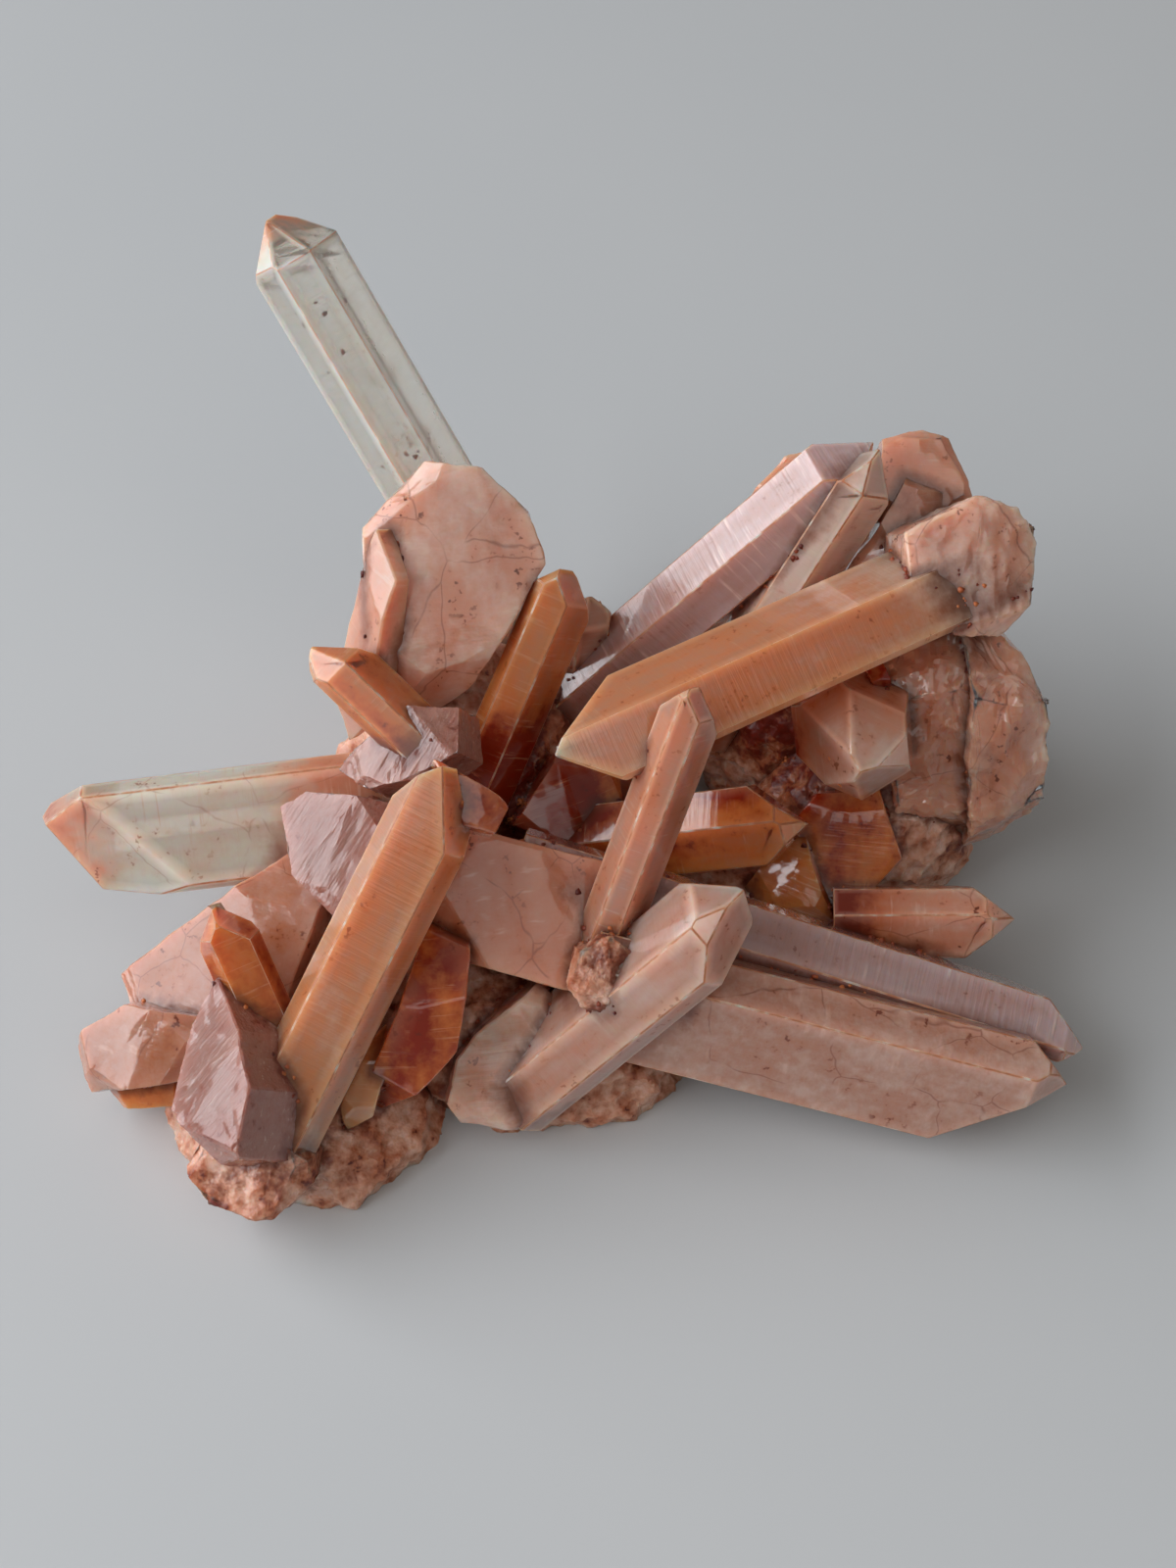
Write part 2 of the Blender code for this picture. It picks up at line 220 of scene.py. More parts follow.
def layOut(kind, first):
    # every noted place gets its own copy, and all of a kind are one piece in the end
    group = []
    for i, (spot, turn, size) in enumerate(places[kind]):
        copy = first.copy()
        copy.data = first.data.copy()
        copy.name = copy.data.name = "%s%d" % (kind, i)
        copy.location, copy.rotation_euler, copy.scale = spot, turn, size
        bpy.context.collection.objects.link(copy)
        group.append(copy)
    clearSelection()
    for copy in group:
        copy.select_set(True)
    bpy.context.view_layer.objects.active = group[0]
    bpy.ops.object.transform_apply(location=True, rotation=True, scale=True)
    bpy.ops.object.join()
    piece = bpy.context.object
    piece.name = piece.data.name = kind
    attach(piece, "root")
    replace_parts(piece, stone)


def zoneFaces(piece):
    # wide faces get an inner zone; the band outside it, along the edges, gets a painted rim light in the quartz
    # materials, for the paleness of thin stone with light coming through
    mesh = piece.data
    mesh.attributes.new("core", "FLOAT", "POINT")
    for depth in pointWear["zones"]:
        bpy.ops.object.mode_set(mode="EDIT")
        bpy.ops.mesh.select_all(action="DESELECT")
        bpy.ops.object.mode_set(mode="OBJECT")
        core = mesh.attributes["core"].data
        for face in mesh.polygons:
            around = sum((mesh.vertices[a].co - mesh.vertices[b].co).length for a, b in face.edge_keys)
            face.select = (face.area > pointWear["wide"] * depth * around and
                           any(core[v].value < 0.5 for v in face.vertices))
        if not any(face.select for face in mesh.polygons):
            continue
        bpy.ops.object.mode_set(mode="EDIT")
        bpy.ops.mesh.select_mode(type="FACE")
        bpy.ops.mesh.inset(thickness=depth, use_individual=True)
        bpy.ops.object.mode_set(mode="OBJECT")
        core = mesh.attributes["core"].data
        for face in mesh.polygons:
            if face.select:
                for v in face.vertices:
                    core[v].value = 1.0
    bpy.ops.object.mode_set(mode="EDIT")
    bpy.ops.mesh.select_mode(type="EDGE")


def growPoint(name, shape, material):
    # six-sided quartz point with its end faces, from its root to its tip
    root, tip = Vector(shape["root"]), Vector(shape["tip"])
    axis = (tip - root).normalized()
    out = Vector((0, -math.cos(frontTilt), math.sin(frontTilt)))
    front = (out - axis * out.dot(axis)).normalized()
    side = axis.cross(front)
    reach = 6 * max(shape["faces"])
    piece = addBlock(name, (root + tip) / 2, side * reach, front * reach, tip - root + axis * reach)

    def outward(clock):
        angle = math.radians(clock)
        return front * math.cos(angle) + side * math.sin(angle)

    shave(root, -axis)
    for i, distance in enumerate(shape["faces"]):
        direction = outward(shape["turn"] + 60 * i)
        shave(root + direction * distance, direction)
    rhombs = [(shape["turn"] + 60 * i, rhombSlope, below) for i, below in enumerate(shape["ends"])
              if below is not None]
    extra = [(clock, math.radians(slope), below) for clock, slope, below in shape.get("cuts", ())]
    for clock, slope, below in rhombs + extra:
        shave(tip - axis * below, outward(clock) * math.sin(slope) + axis * math.cos(slope))
    for clock, slope, above in shape.get("breaks", ()):
        slope = math.radians(slope)
        shave(root + axis * above, outward(clock) * math.sin(slope) - axis * math.cos(slope))
    softenEdges(pointWear["edge"])
    bpy.ops.object.mode_set(mode="OBJECT")
    piece.data.materials.append(material)
    piece.data.materials.append(wornEdgeAndGlint)
    frostAndGlintEdges(piece)
    zoneFaces(piece)
    rings = int((tip - root).length / pointWear["ring"])   # they carry the stain between root and tip
    for i in range(1, rings):
        bpy.ops.mesh.select_all(action="SELECT")
        bpy.ops.mesh.bisect(plane_co=root + (tip - root) * i / rings, plane_no=axis)
    bpy.ops.object.mode_set(mode="OBJECT")
    if shape.get("brokenRoot"):                       # the beam's far end
        roughenFaces(piece, -axis, shape["brokenRoot"])
    finishPiece(piece, material, root, side, front, axis, shape["stain"], (tip - root).length)

    chance = random.Random(name)
    girth = min(shape["faces"])
    for i in range(shape.get("veils", 0)):            # healed cracks, mostly square to the crystal
        share = (i + chance.uniform(*veilLook["stray"])) / shape["veils"] * veilLook["share"] + veilLook["start"]
        clock = math.radians(chance.uniform(0, 360))
        off = side * math.cos(clock) + front * math.sin(clock)
        lean = (axis + off * chance.uniform(*veilLook["lean"])).normalized()
        spot = root + (tip - root) * share + off * girth * chance.uniform(*veilLook["off"])
        size = [girth * chance.uniform(*veilLook["long"]), girth * chance.uniform(*veilLook["broad"]),
                girth * veilLook["thick"]]
        sealInside("healedCracks", spot, lean, size, chance.uniform(0, 360))
    for i in range(shape.get("flecks", 0)):           # thin plates of hematite close under the faces
        share = chance.uniform(*fleckLook["share"])
        clock = math.radians(chance.uniform(0, 360))
        off = side * math.cos(clock) + front * math.sin(clock)
        wide = chance.uniform(*fleckLook["wide"])
        spot = root + (tip - root) * share + off * girth * chance.uniform(*fleckLook["off"])
        lean = (off + axis * chance.uniform(-fleckLook["lean"], fleckLook["lean"])).normalized()
        size = [wide, wide * chance.uniform(fleckLook["narrow"], 1), wide * fleckLook["thick"]]
        sealInside("hematitePlates", spot, lean, size, chance.uniform(0, 360))


def breakSlab(name, shape, material):
    # slab cut to a many-sided outline, then roughened as quartz breaks
    centre = Vector(shape["centre"])
    facing = Vector(shape["facing"]).normalized()
    up = (Vector((0, 0, 1)) - facing * facing.z).normalized()
    right = up.cross(facing)
    reach = 6 * max(distance for clock, distance in shape["sides"])
    piece = addBlock(name, centre, right * reach, up * reach, facing * shape["thick"])
    for clock, distance in shape["sides"]:
        outward = right * math.cos(math.radians(clock)) + up * math.sin(math.radians(clock))
        shave(centre + outward * distance, outward)
    shave(worldAxes[2] * slabWear["floor"], -worldAxes[2])     # nothing reaches under the table
    span = sum(distance for clock, distance in shape["sides"]) / len(shape["sides"])
    chance = random.Random(name)
    for i in range(shape.get("flakes", slabWear["flakes"])):   # flakes struck off: two shallow, the rest at the rim
        steep = i > 1
        clock = math.radians(i * slabWear["turn"] + chance.uniform(0, slabWear["stray"]))
        lean = math.radians(chance.uniform(*slabWear["steep"]) if steep else slabWear["shallow"])
        outward = facing * math.cos(lean) + (right * math.cos(clock) + up * math.sin(clock)) * math.sin(lean)
        share = chance.uniform(*slabWear["rim"]) if steep else slabWear["inner"]
        keep = shape["thick"] / 2 * math.cos(lean) + span * math.sin(lean) * share
        shave(centre + outward * keep, outward)
    softenEdges(slabWear["edge"], sharpness=8, segments=1)
    bpy.ops.object.mode_set(mode="OBJECT")
    fineness = shape.get("fineness", slabWear["fineness"])
    applyModifier(piece, "SUBSURF", {"subdivision_type": "SIMPLE", "levels": fineness, "render_levels": fineness})
    pushIn(piece, slabWear["layers"], shape.get("rough", slabWear["rough"]), {})
    if shape.get("splinter"):                         # splinters run along one way of the break
        along = Vector(shape["along"]).normalized()
        clearSelection()
        bpy.ops.object.empty_add(rotation=along.to_track_quat("Z", "Y").to_euler(), scale=(1, 1, slabWear["drawn"]))
        wood = bpy.context.object
        wood.name = "splinterWay"
        clearSelection()
        piece.select_set(True)
        bpy.context.view_layer.objects.active = piece
        bpy.context.view_layer.update()
        pushIn(piece, slabWear["splinters"], shape["splinter"],
               {"texture_coords": "OBJECT", "texture_coords_object": wood})
        bpy.data.objects.remove(wood)
    bpy.ops.object.shade_smooth_by_angle(angle=math.radians(slabWear["smooth"]))
    rims = []                                         # how far in from the rim of the slab
    for clock, distance in shape["sides"]:
        rims.append((distance, right * math.cos(math.radians(clock)) + up * math.sin(math.radians(clock))))
    depths = [min(distance - (v.co - centre).dot(out) for distance, out in rims) for v in piece.data.vertices]
    # the core also sets where the painted rim light of the quartz materials falls
    core = [min(max(depth / slabWear["core"], 0.0), 1.0) for depth in depths]
    piece.data.attributes.new("core", "FLOAT", "POINT").data.foreach_set("value", core)
    finishPiece(piece, material, centre, right, facing, up, shape["stain"])


def makeAll(make, pieces):
    for name, (material, shape) in pieces.items():
        make(name, shape, material)
    print(len(pieces), "more pieces, the last is", name)


broadBreak = reliefTexture("broadBreak", "VORONOI", 4.5)     # shell-like breaks, mm across
sharpBreak = reliefTexture("sharpBreak", "VORONOI", 1.7)
fineBreak = reliefTexture("fineBreak", "CLOUDS", 0.8, 2)


# camera, light and floor

shot = {"aim": (3.0, 0.0, 18.0), "away": 225.0, "down": 50, "lens": 50.0}    # mm, degrees above the table
down = math.radians(shot["down"])
eye = Vector(shot["aim"]) + Vector((0, -math.cos(down), math.sin(down))) * shot["away"] - clusterMiddle
clearSelection()
bpy.ops.object.camera_add(location=eye * metresPerMm, rotation=(math.pi / 2 - down, 0, 0))
camera = bpy.context.object
camera.name = "camera"
camera.data.sensor_fit = "VERTICAL"
camera.data.sensor_height = 36
camera.data.lens = shot["lens"]
camera.data.clip_start = 0.01
bpy.context.scene.camera = camera
bpy.context.scene.view_settings.view_transform = "Standard"
bounces = {"max_bounces": 6, "diffuse_bounces": 3, "glossy_bounces": 3, "transmission_bounces": 5}
for key, value in bounces.items():
    setattr(bpy.context.scene.cycles, key, value)

window = {"turn": -92, "height": 33, "away": 1.15, "size": (1.6, 1.1), "power": 20.5, "colour": "#f6f7fc"}
fill = {"turn": 170, "height": 60, "away": 0.9, "size": (0.8, 0.8), "power": 1.6, "colour": "#f6f3f0"}
for name, lamp in (("windowLight", window), ("ceilingLight", fill)):
    turn, height = math.radians(lamp["turn"]), math.radians(lamp["height"])
    toLamp = Vector((math.sin(turn) * math.cos(height), math.cos(turn) * math.cos(height), math.sin(height)))
    bpy.ops.object.light_add(type="AREA", location=toLamp * lamp["away"],
                             rotation=toLamp.to_track_quat("Z", "Y").to_euler())
    light = bpy.context.object
    light.name = name
    light.data.shape = "RECTANGLE"
    light.data.size, light.data.size_y = lamp["size"]
    light.data.energy = lamp["power"]
    light.data.color = fromHex(lamp["colour"])[:3]

room = bpy.data.worlds.new("room")               # even, cool light from the walls of a room
bpy.context.scene.world = room
room.use_nodes = True
addNode(room.node_tree, room.node_tree.nodes["Background"], {"Color": fromHex("#cdc5bf"), "Strength": 0.25})

table = {"size": 3.0, "colours": ("#c2c7c9", "#c7cbcc")}
clearSelection()
bpy.ops.mesh.primitive_plane_add(size=table["size"])
floor = bpy.context.object
floor.name = "table"
lacquer = bpy.data.materials.new("satinTableLacquer")   # sprayed satin lacquer: pale, even, a soft shine
lacquer.use_nodes = True
tree = lacquer.node_tree
place = addNode(tree, "TexCoord")
haze = addNode(tree, "TexNoise", {"Scale": 6.0, "Detail": 3.0}, {"Vector": place.outputs["Object"]})
paint = addNode(tree, "ValToRGB", {"stops": ((0.3, table["colours"][0]), (0.7, table["colours"][1]))},
                {"Fac": haze})
satin = addNode(tree, "MapRange", {"To Min": 0.4, "To Max": 0.52}, {"Value": haze})
addNode(tree, tree.nodes["Principled BSDF"], {}, {"Base Color": paint, "Roughness": satin})
floor.data.materials.append(lacquer)
print("camera, light and table are set")


# materials

# deep hollows of the cluster, painted darker red: painted shade of the hollows together with the iron that gathered
# there; centre and radius in mm, added stain
shadeAndRustPockets = (((-5.0, -1.0, 19.0), 11.0, 0.8), ((20.0, 2.0, 20.0), 9.5, 1.1), ((-17.0, -26.0, 9.0), 7.0, 0.7))


def startMaterial(name):
    # a new material, its tree and shader, and a pattern place in millimetres
    material = bpy.data.materials.new(name)
    material.use_nodes = True
    tree = material.node_tree
    coords = addNode(tree, "TexCoord")
    place = addNode(tree, "Mapping", {"Scale": (1000, 1000, 1000)}, {"Vector": coords.outputs["Object"]})
    return material, tree, tree.nodes["Principled BSDF"], place


# what most kinds of the quartz share; patterns in millimetres
plainQuartz = {"sheen": 1.0, "cracks": 0, "pitted": 0, "milk": 1.0, "lines": (0.12, 0.12, 2.4), "mottle": 0.05,
               "body": "#f2ab80", "drawn": 0.4, "wisps": 0.5}


def quartzMaterial(name, look):
    # Iron-stained quartz, as it grew. Its colour follows the stain that each piece carries, with clouds drawn out
    # along the crystal, specks of hematite and brown-filled cracks, with a painted rim light along the edges of the
    # faces and painted shade in the deep hollows. Every pattern is scaled in millimetres.
    look = {**plainQuartz, **look}
    material, tree, shader, mm = startMaterial(name)
    grain = addNode(tree, "Attribute", {"attribute_name": "grain"}).outputs["Vector"]
    stain = addNode(tree, "Attribute", {"attribute_name": "stain"}).outputs["Fac"]

    often = 1 / look["cloud"]                         # clouds per millimetre
    drawn = addNode(tree, "Mapping", {"Scale": (often, often, look["drawn"] / look["cloud"])}, {"Vector": grain})
    cloud = addNode(tree, "TexNoise", {"Scale": 1.0, "Detail": 2.0, "Roughness": 0.6}, {"Vector": drawn})
    fine = addNode(tree, "TexNoise", {"Scale": 1.0, "Detail": 2.0, "Roughness": 0.7}, {"Vector": mm})
    swing = addNode(tree, "MapRange", {"From Min": 0.3, "From Max": 0.7, "To Min": -look["swing"],
                                       "To Max": look["swing"], "clamp": False}, {"Value": cloud})
    mottle = addNode(tree, "MapRange", {"From Min": 0.3, "From Max": 0.7, "To Min": -look["mottle"],
                                        "To Max": look["mottle"], "clamp": False}, {"Value": fine})
    level = addNode(tree, "Math", {"operation": "ADD"}, {0: stain, 1: swing})
    level = addNode(tree, "Math", {"operation": "ADD"}, {0: level, 1: mottle})
    # painted shade in the deep hollows, with their iron, darkens and reddens the tone
    for centre, radius, addedShadeAndRust in shadeAndRustPockets:
        away = addNode(tree, "VectorMath", {"operation": "DISTANCE", 1: Vector(centre) - clusterMiddle}, {0: mm})
        hollowShadeAndRust = addNode(tree, "MapRange", {"From Min": radius, "From Max": 0.3 * radius, "To Max": addedShadeAndRust},
                       {"Value": away.outputs["Value"]})
        level = addNode(tree, "Math", {"operation": "ADD"}, {0: level, 1: hollowShadeAndRust})
    tone = addNode(tree, "ValToRGB", {"stops": look["tones"]}, {"Fac": level})

    # specks of hematite, a few tenths of a millimetre across, in drifts
    near = addNode(tree, "MapRange", {"From Min": 0.61, "From Max": 0.68}, {"Value": fine})
    drift = addNode(tree, "MapRange", {"From Min": 0.5, "From Max": 0.62}, {"Value": cloud})
    rusty = addNode(tree, "Math", {"operation": "MULTIPLY"}, {0: near, 1: drift})
    if look["cracks"]:                                # hair-fine cracks filled with brown iron oxide
        cells = addNode(tree, "TexVoronoi", {"Scale": 0.085, "feature": "DISTANCE_TO_EDGE"},
                        {"Vector": addNode(tree, "VectorMath", {"operation": "MULTIPLY_ADD", 1: (2, 2, 2)},
                                           {0: cloud.outputs["Color"], 2: mm})})
        line = addNode(tree, "MapRange", {"From Min": 0.009, "From Max": 0.001, "To Max": look["cracks"]},
                       {"Value": cells.outputs["Distance"]})
        gap = addNode(tree, "MapRange", {"From Min": 0.4, "From Max": 0.52}, {"Value": cloud})
        crack = addNode(tree, "Math", {"operation": "MULTIPLY"}, {0: line, 1: gap})
        rusty = addNode(tree, "Math", {"operation": "MAXIMUM"}, {0: rusty, 1: crack})
    # growth lines run across a point, about a third of a millimetre apart
    lines = addNode(tree, "Mapping", {"Scale": look["lines"]}, {"Vector": grain})
    ridge = addNode(tree, "TexNoise", {"Scale": 1.0, "Detail": 2.0, "Roughness": 0.6}, {"Vector": lines})
    # where the lines are strong they are healed cracks, white with bubbles
    healed = addNode(tree, "MapRange", {"From Min": 0.6, "From Max": 0.7, "To Max": look["wisps"]},
                     {"Value": ridge})
    gaps = addNode(tree, "MapRange", {"From Min": 0.56, "From Max": 0.44}, {"Value": cloud})
    white = addNode(tree, "Math", {"operation": "MULTIPLY"}, {0: healed, 1: gaps})
    # painted rim light: a band along the edges of the faces is mixed towards the pale rim tone, in patches; the
    # white healed wisps use the same tone
    core = addNode(tree, "Attribute", {"attribute_name": "core"}).outputs["Fac"]
    paintedRimLight = addNode(tree, "MapRange", {"To Min": look["rimLight"], "To Max": 0.0}, {"Value": core})
    rimLightPatches = addNode(tree, "MapRange", {"From Min": 0.42, "From Max": 0.6}, {"Value": cloud})
    rimLightAndWisps = addNode(tree, "Math", {"operation": "MULTIPLY_ADD", "use_clamp": True},
                   {0: paintedRimLight, 1: rimLightPatches, 2: white})
    tone = addNode(tree, "Mix", {"data_type": "RGBA", 7: fromHex(look["rim"])},
                   {0: rimLightAndWisps, 6: tone})
    rusty = addNode(tree, "Math", {"operation": "MULTIPLY", 1: look["rust"], "use_clamp": True}, {0: rusty})
    # rust gathered where crystals meet
    seam = addNode(tree, "Attribute", {"attribute_name": "seam"}).outputs["Fac"]
    edge = addNode(tree, "Math", {"operation": "ADD"}, {0: seam, 1: mottle})
    edge = addNode(tree, "Math", {"operation": "ADD"}, {0: edge, 1: swing})
    edge = addNode(tree, "MapRange", {"From Min": 0.4, "From Max": 0.95, "To Max": 0.75}, {"Value": edge})
    rusty = addNode(tree, "Math", {"operation": "MAXIMUM"}, {0: rusty, 1: edge})
    colour = addNode(tree, "Mix", {"data_type": "RGBA", 7: fromHex(look["rustTone"])},
                     {0: rusty, 6: tone.outputs[2]})

    relief = ridge
    if look["pitted"]:
        relief = addNode(tree, "Mix", {"data_type": "FLOAT", 0: look["pitted"]}, {2: ridge, 3: fine})
    bump = addNode(tree, "Bump", {"Strength": look["relief"], "Distance": 0.0003}, {"Height": relief})
    gloss = addNode(tree, "MapRange", {"From Min": 0.35, "From Max": 0.65, "To Min": look["rough"][0],
                                       "To Max": look["rough"][1]}, {"Value": cloud})

    addNode(tree, shader, {"IOR": quartzIor, "Coat Weight": look["sheen"], "Coat Roughness": 0.04,
                           "Subsurface Weight": look["milk"], "Subsurface Radius": (1.0, 0.5, 0.32),
                           "Subsurface Scale": look["depth"] * metresPerMm},
            {"Base Color": colour.outputs[2], "Roughness": gloss, "Normal": bump})
    if look["clear"]:                                 # the more stain, the less it lets through
        sheer = addNode(tree, "MapRange", {"From Min": 0.3, "From Max": 0.9, "To Min": look["clear"],
                                           "To Max": 0.25 * look["clear"]}, {"Value": level})
        thick = addNode(tree, "MapRange", {"To Min": 0.45, "To Max": 1.0}, {"Value": core})
        sheer = addNode(tree, "Math", {"operation": "MULTIPLY"}, {0: sheer, 1: thick})
        addNode(tree, shader, {}, {"Transmission Weight": sheer})
        body = addNode(tree, "VolumeAbsorption", {"Color": fromHex(look["body"]), "Density": look["density"]})
        addNode(tree, tree.nodes["Material Output"], {}, {"Volume": body})
    return material


# rock crystal: grown free in a cavity, clear as glass, with a breath of iron
rockCrystal = quartzMaterial("rockCrystal", {
    "cloud": 3.0, "drawn": 0.3, "wisps": 0.8, "sheen": 0.0, "rimLight": 0.2, "rim": "#fdf4ea", "swing": 0.2,
    "mottle": 0.04, "rust": 0.3, "rustTone": "#a4553a", "relief": 0.1, "rough": (0.01, 0.06), "clear": 0.86,
    "milk": 0.8, "depth": 2.0, "body": "#f4e8d6", "density": 16.0,
    "tones": ((0.0, "#fbfaf2"), (0.4, "#f8ecdc"), (0.7, "#eeae88"), (1.0, "#c8683a"))})
# hazy quartz: clear quartz with clouds of iron dust, between glass and milk
hazyQuartz = quartzMaterial("hazyQuartz", {
    "cloud": 3.2, "wisps": 0.6, "rimLight": 0.25, "rim": "#fcdcc8", "swing": 0.16, "rust": 0.5, "rustTone": "#86402a",
    "relief": 0.12, "rough": (0.02, 0.1), "clear": 0.5, "depth": 3.5, "body": "#f6b896", "density": 50.0,
    "tones": ((0.0, "#f8d8ca"), (0.4, "#edac8e"), (0.7, "#dc8a5c"), (1.0, "#8e3014"))})
# pale quartz: nearly rock crystal in the middle, peach where iron dust got in
paleQuartz = quartzMaterial("paleQuartz", {
    "cloud": 3.2, "drawn": 0.45, "wisps": 0.6, "rimLight": 0.3, "rim": "#fbd5bd", "swing": 0.16, "rust": 0.7,
    "cracks": 0.45, "rustTone": "#9a4e32", "lines": (0.12, 0.12, 2.0), "relief": 0.15, "rough": (0.03, 0.12),
    "clear": 0.55, "depth": 4.0, "body": "#f8e0c6", "density": 22.0,
    "tones": ((0.0, "#fdf6ea"), (0.3, "#f8dcc6"), (0.6, "#eba886"), (1.0, "#b0562c"))})
# milky quartz: full of tiny bubbles and dust of hematite, so it glows pink in the light
milkyQuartz = quartzMaterial("milkyQuartz", {
    "cloud": 4.0, "drawn": 0.5, "wisps": 0.3, "sheen": 0.7, "rimLight": 0.15, "rim": "#fbdccb", "swing": 0.17,
    "mottle": 0.06, "rust": 0.6, "rustTone": "#7a3c24", "pitted": 0.1, "lines": (0.12, 0.12, 2.0), "relief": 0.2,
    "rough": (0.06, 0.24), "clear": 0.38, "depth": 3.2, "density": 55.0,
    "tones": ((0.0, "#f4d6c6"), (0.35, "#e9ab8e"), (0.7, "#d6835c"), (1.0, "#8c2e14"))})
# cracked quartz: milky, with curved cracks that rust ran into
crackedQuartz = quartzMaterial("crackedQuartz", {
    "cloud": 4.0, "drawn": 0.5, "sheen": 0.5, "rimLight": 0.25, "rim": "#fbd6c2", "swing": 0.2, "mottle": 0.06,
    "rust": 0.85, "cracks": 0.5, "rustTone": "#6c2c18", "pitted": 0.4, "lines": (0.3, 0.3, 1.2), "relief": 0.4,
    "rough": (0.06, 0.26), "clear": 0.34, "depth": 3.2, "density": 55.0,
    "tones": ((0.0, "#f5d5c5"), (0.35, "#e6a78a"), (0.7, "#cf7c54"), (1.0, "#862a12"))})
# dusty quartz: flat broken faces, dulled and browned by a film of clay and iron
dustyQuartz = quartzMaterial("dustyQuartz", {
    "cloud": 3.5, "drawn": 0.6, "wisps": 0.35, "sheen": 0.5, "rimLight": 0.3, "rim": "#f0c8b4", "swing": 0.22,
    "mottle": 0.12, "rust": 0.9, "cracks": 0.55, "rustTone": "#7a3a28", "pitted": 0.4, "lines": (0.4, 0.4, 1.0),
    "relief": 0.4, "rough": (0.08, 0.22), "clear": 0.25, "depth": 2.4, "density": 50.0,
    "tones": ((0.0, "#d9b5a4"), (0.35, "#c8937c"), (0.7, "#b87552"), (1.0, "#7e3018"))})
# striated quartz: growth lines across it break the window's light into silver threads; its palest tones are greyed
# towards lilac, a painted reflection of that silvery sheen over the stone's own pink
striatedQuartz = quartzMaterial("striatedQuartz", {
    "cloud": 4.0, "drawn": 0.3, "wisps": 0.7, "rimLight": 0.15, "rim": "#fbe0d6", "swing": 0.2, "rust": 0.5,
    "rustTone": "#7a3c24", "lines": (0.1, 0.1, 1.5), "relief": 0.75, "rough": (0.12, 0.24), "clear": 0.3,
    "depth": 3.0, "body": "#f2ab90", "density": 90.0,
    "tones": ((0.0, "#d2b8b6"), (0.35, "#cb9f94"), (0.7, "#c98464"), (1.0, "#8c2e14"))})
# amber quartz: stained through by iron, honey to orange
amberQuartz = quartzMaterial("amberQuartz", {
    "cloud": 3.4, "drawn": 0.35, "wisps": 0.4, "rimLight": 0.2, "rim": "#fbc89c", "swing": 0.18, "mottle": 0.07,
    "rust": 0.5, "rustTone": "#6e2a18", "relief": 0.14, "rough": (0.03, 0.12), "clear": 0.48, "depth": 5.0,
    "body": "#f8a862", "density": 100.0,
    "tones": ((0.0, "#f6d0b8"), (0.35, "#eaa478"), (0.7, "#df8342"), (1.0, "#96280c"))})
# silky broken faces: fine steps and splinters that catch the window with a lilac sheen
silkyQuartz = quartzMaterial("silkyQuartz", {
    "cloud": 2.5, "sheen": 0.7, "rimLight": 0.15, "rim": "#e8c4b6", "swing": 0.35, "mottle": 0.1, "rust": 0.8,
    "rustTone": "#7a3426", "pitted": 0.2, "lines": (2.6, 2.6, 0.15), "relief": 0.6, "rough": (0.1, 0.26),
    "clear": 0.4, "milk": 0.8, "depth": 1.4, "body": "#f0a888", "density": 120.0,
    "tones": ((0.0, "#c29080"), (0.4, "#ae7767"), (0.7, "#9b5a49"), (1.0, "#7a2c1c"))})
# matrix: granular quartz and rust that everything grew from
rustyMatrix = quartzMaterial("rustyMatrix", {
    "cloud": 3.0, "drawn": 1.0, "wisps": 0.3, "sheen": 0.0, "rimLight": 0.0, "rim": "#f0cdb4", "swing": 0.34,
    "mottle": 0.2, "rust": 1.0, "rustTone": "#682617", "pitted": 0.8, "lines": (1.0, 1.0, 1.0), "relief": 0.7,
    "rough": (0.22, 0.5), "clear": 0.0, "milk": 0.8, "depth": 1.5, "body": "#d9a394", "density": 60.0,
    "tones": ((0.0, "#eac6b4"), (0.4, "#d59f84"), (0.7, "#b56f4d"), (1.0, "#74200f"))})

# worn edges: rubbed and nicked until they scatter white light; their near-white tone is also a painted highlight,
# the glints of light along the edges
wornEdgeAndGlint, tree, shader, mm = startMaterial("frostedEdgeAndGlint")
nicks = addNode(tree, "TexNoise", {"Scale": 0.7, "Detail": 3.0}, {"Vector": mm})
frostAndGlint = addNode(tree, "ValToRGB", {"stops": ((0.42, "#cf8a64"), (0.54, "#e2aa88"), (0.7, "#fbe9dc"))},
                {"Fac": nicks})
addNode(tree, shader, {"Roughness": 0.3, "IOR": quartzIor, "Subsurface Weight": 1.0,
                       "Subsurface Radius": (1.0, 0.6, 0.4), "Subsurface Scale": 0.0015,
                       "Transmission Weight": 0.35}, {"Base Color": frostAndGlint})

# healed fractures: sheets of tiny bubbles that shine silvery inside the clear stone
healed, tree, shader, mm = startMaterial("healedFracture")
fade = addNode(tree, "Attribute", {"attribute_name": "fade"}).outputs["Fac"]
wisps = addNode(tree, "TexNoise", {"Scale": 0.9, "Detail": 4.0, "Roughness": 0.65, "Distortion": 1.2},
                {"Vector": mm})
dense = addNode(tree, "MapRange", {"From Min": 0.48, "From Max": 0.66, "To Max": 0.75}, {"Value": wisps})
seen = addNode(tree, "Math", {"operation": "MULTIPLY"}, {0: dense, 1: fade})
silver = addNode(tree, "ValToRGB", {"stops": ((0.4, "#f3b898"), (0.6, "#fdf6f0"))}, {"Fac": wisps})
addNode(tree, shader, {"Roughness": 0.25}, {"Base Color": silver, "Alpha": seen})

# hematite: thin plates, blood red where light comes through and brown where it doesn't
hematite, tree, shader, mm = startMaterial("hematiteFlecks")
blotch = addNode(tree, "TexNoise", {"Scale": 0.35, "Detail": 3.0}, {"Vector": mm})
rust = addNode(tree, "ValToRGB", {"stops": ((0.4, "#57180d"), (0.52, "#8c3a1c"), (0.64, "#c4703c"))},
               {"Fac": blotch})
addNode(tree, shader, {"Roughness": 0.45}, {"Base Color": rust})

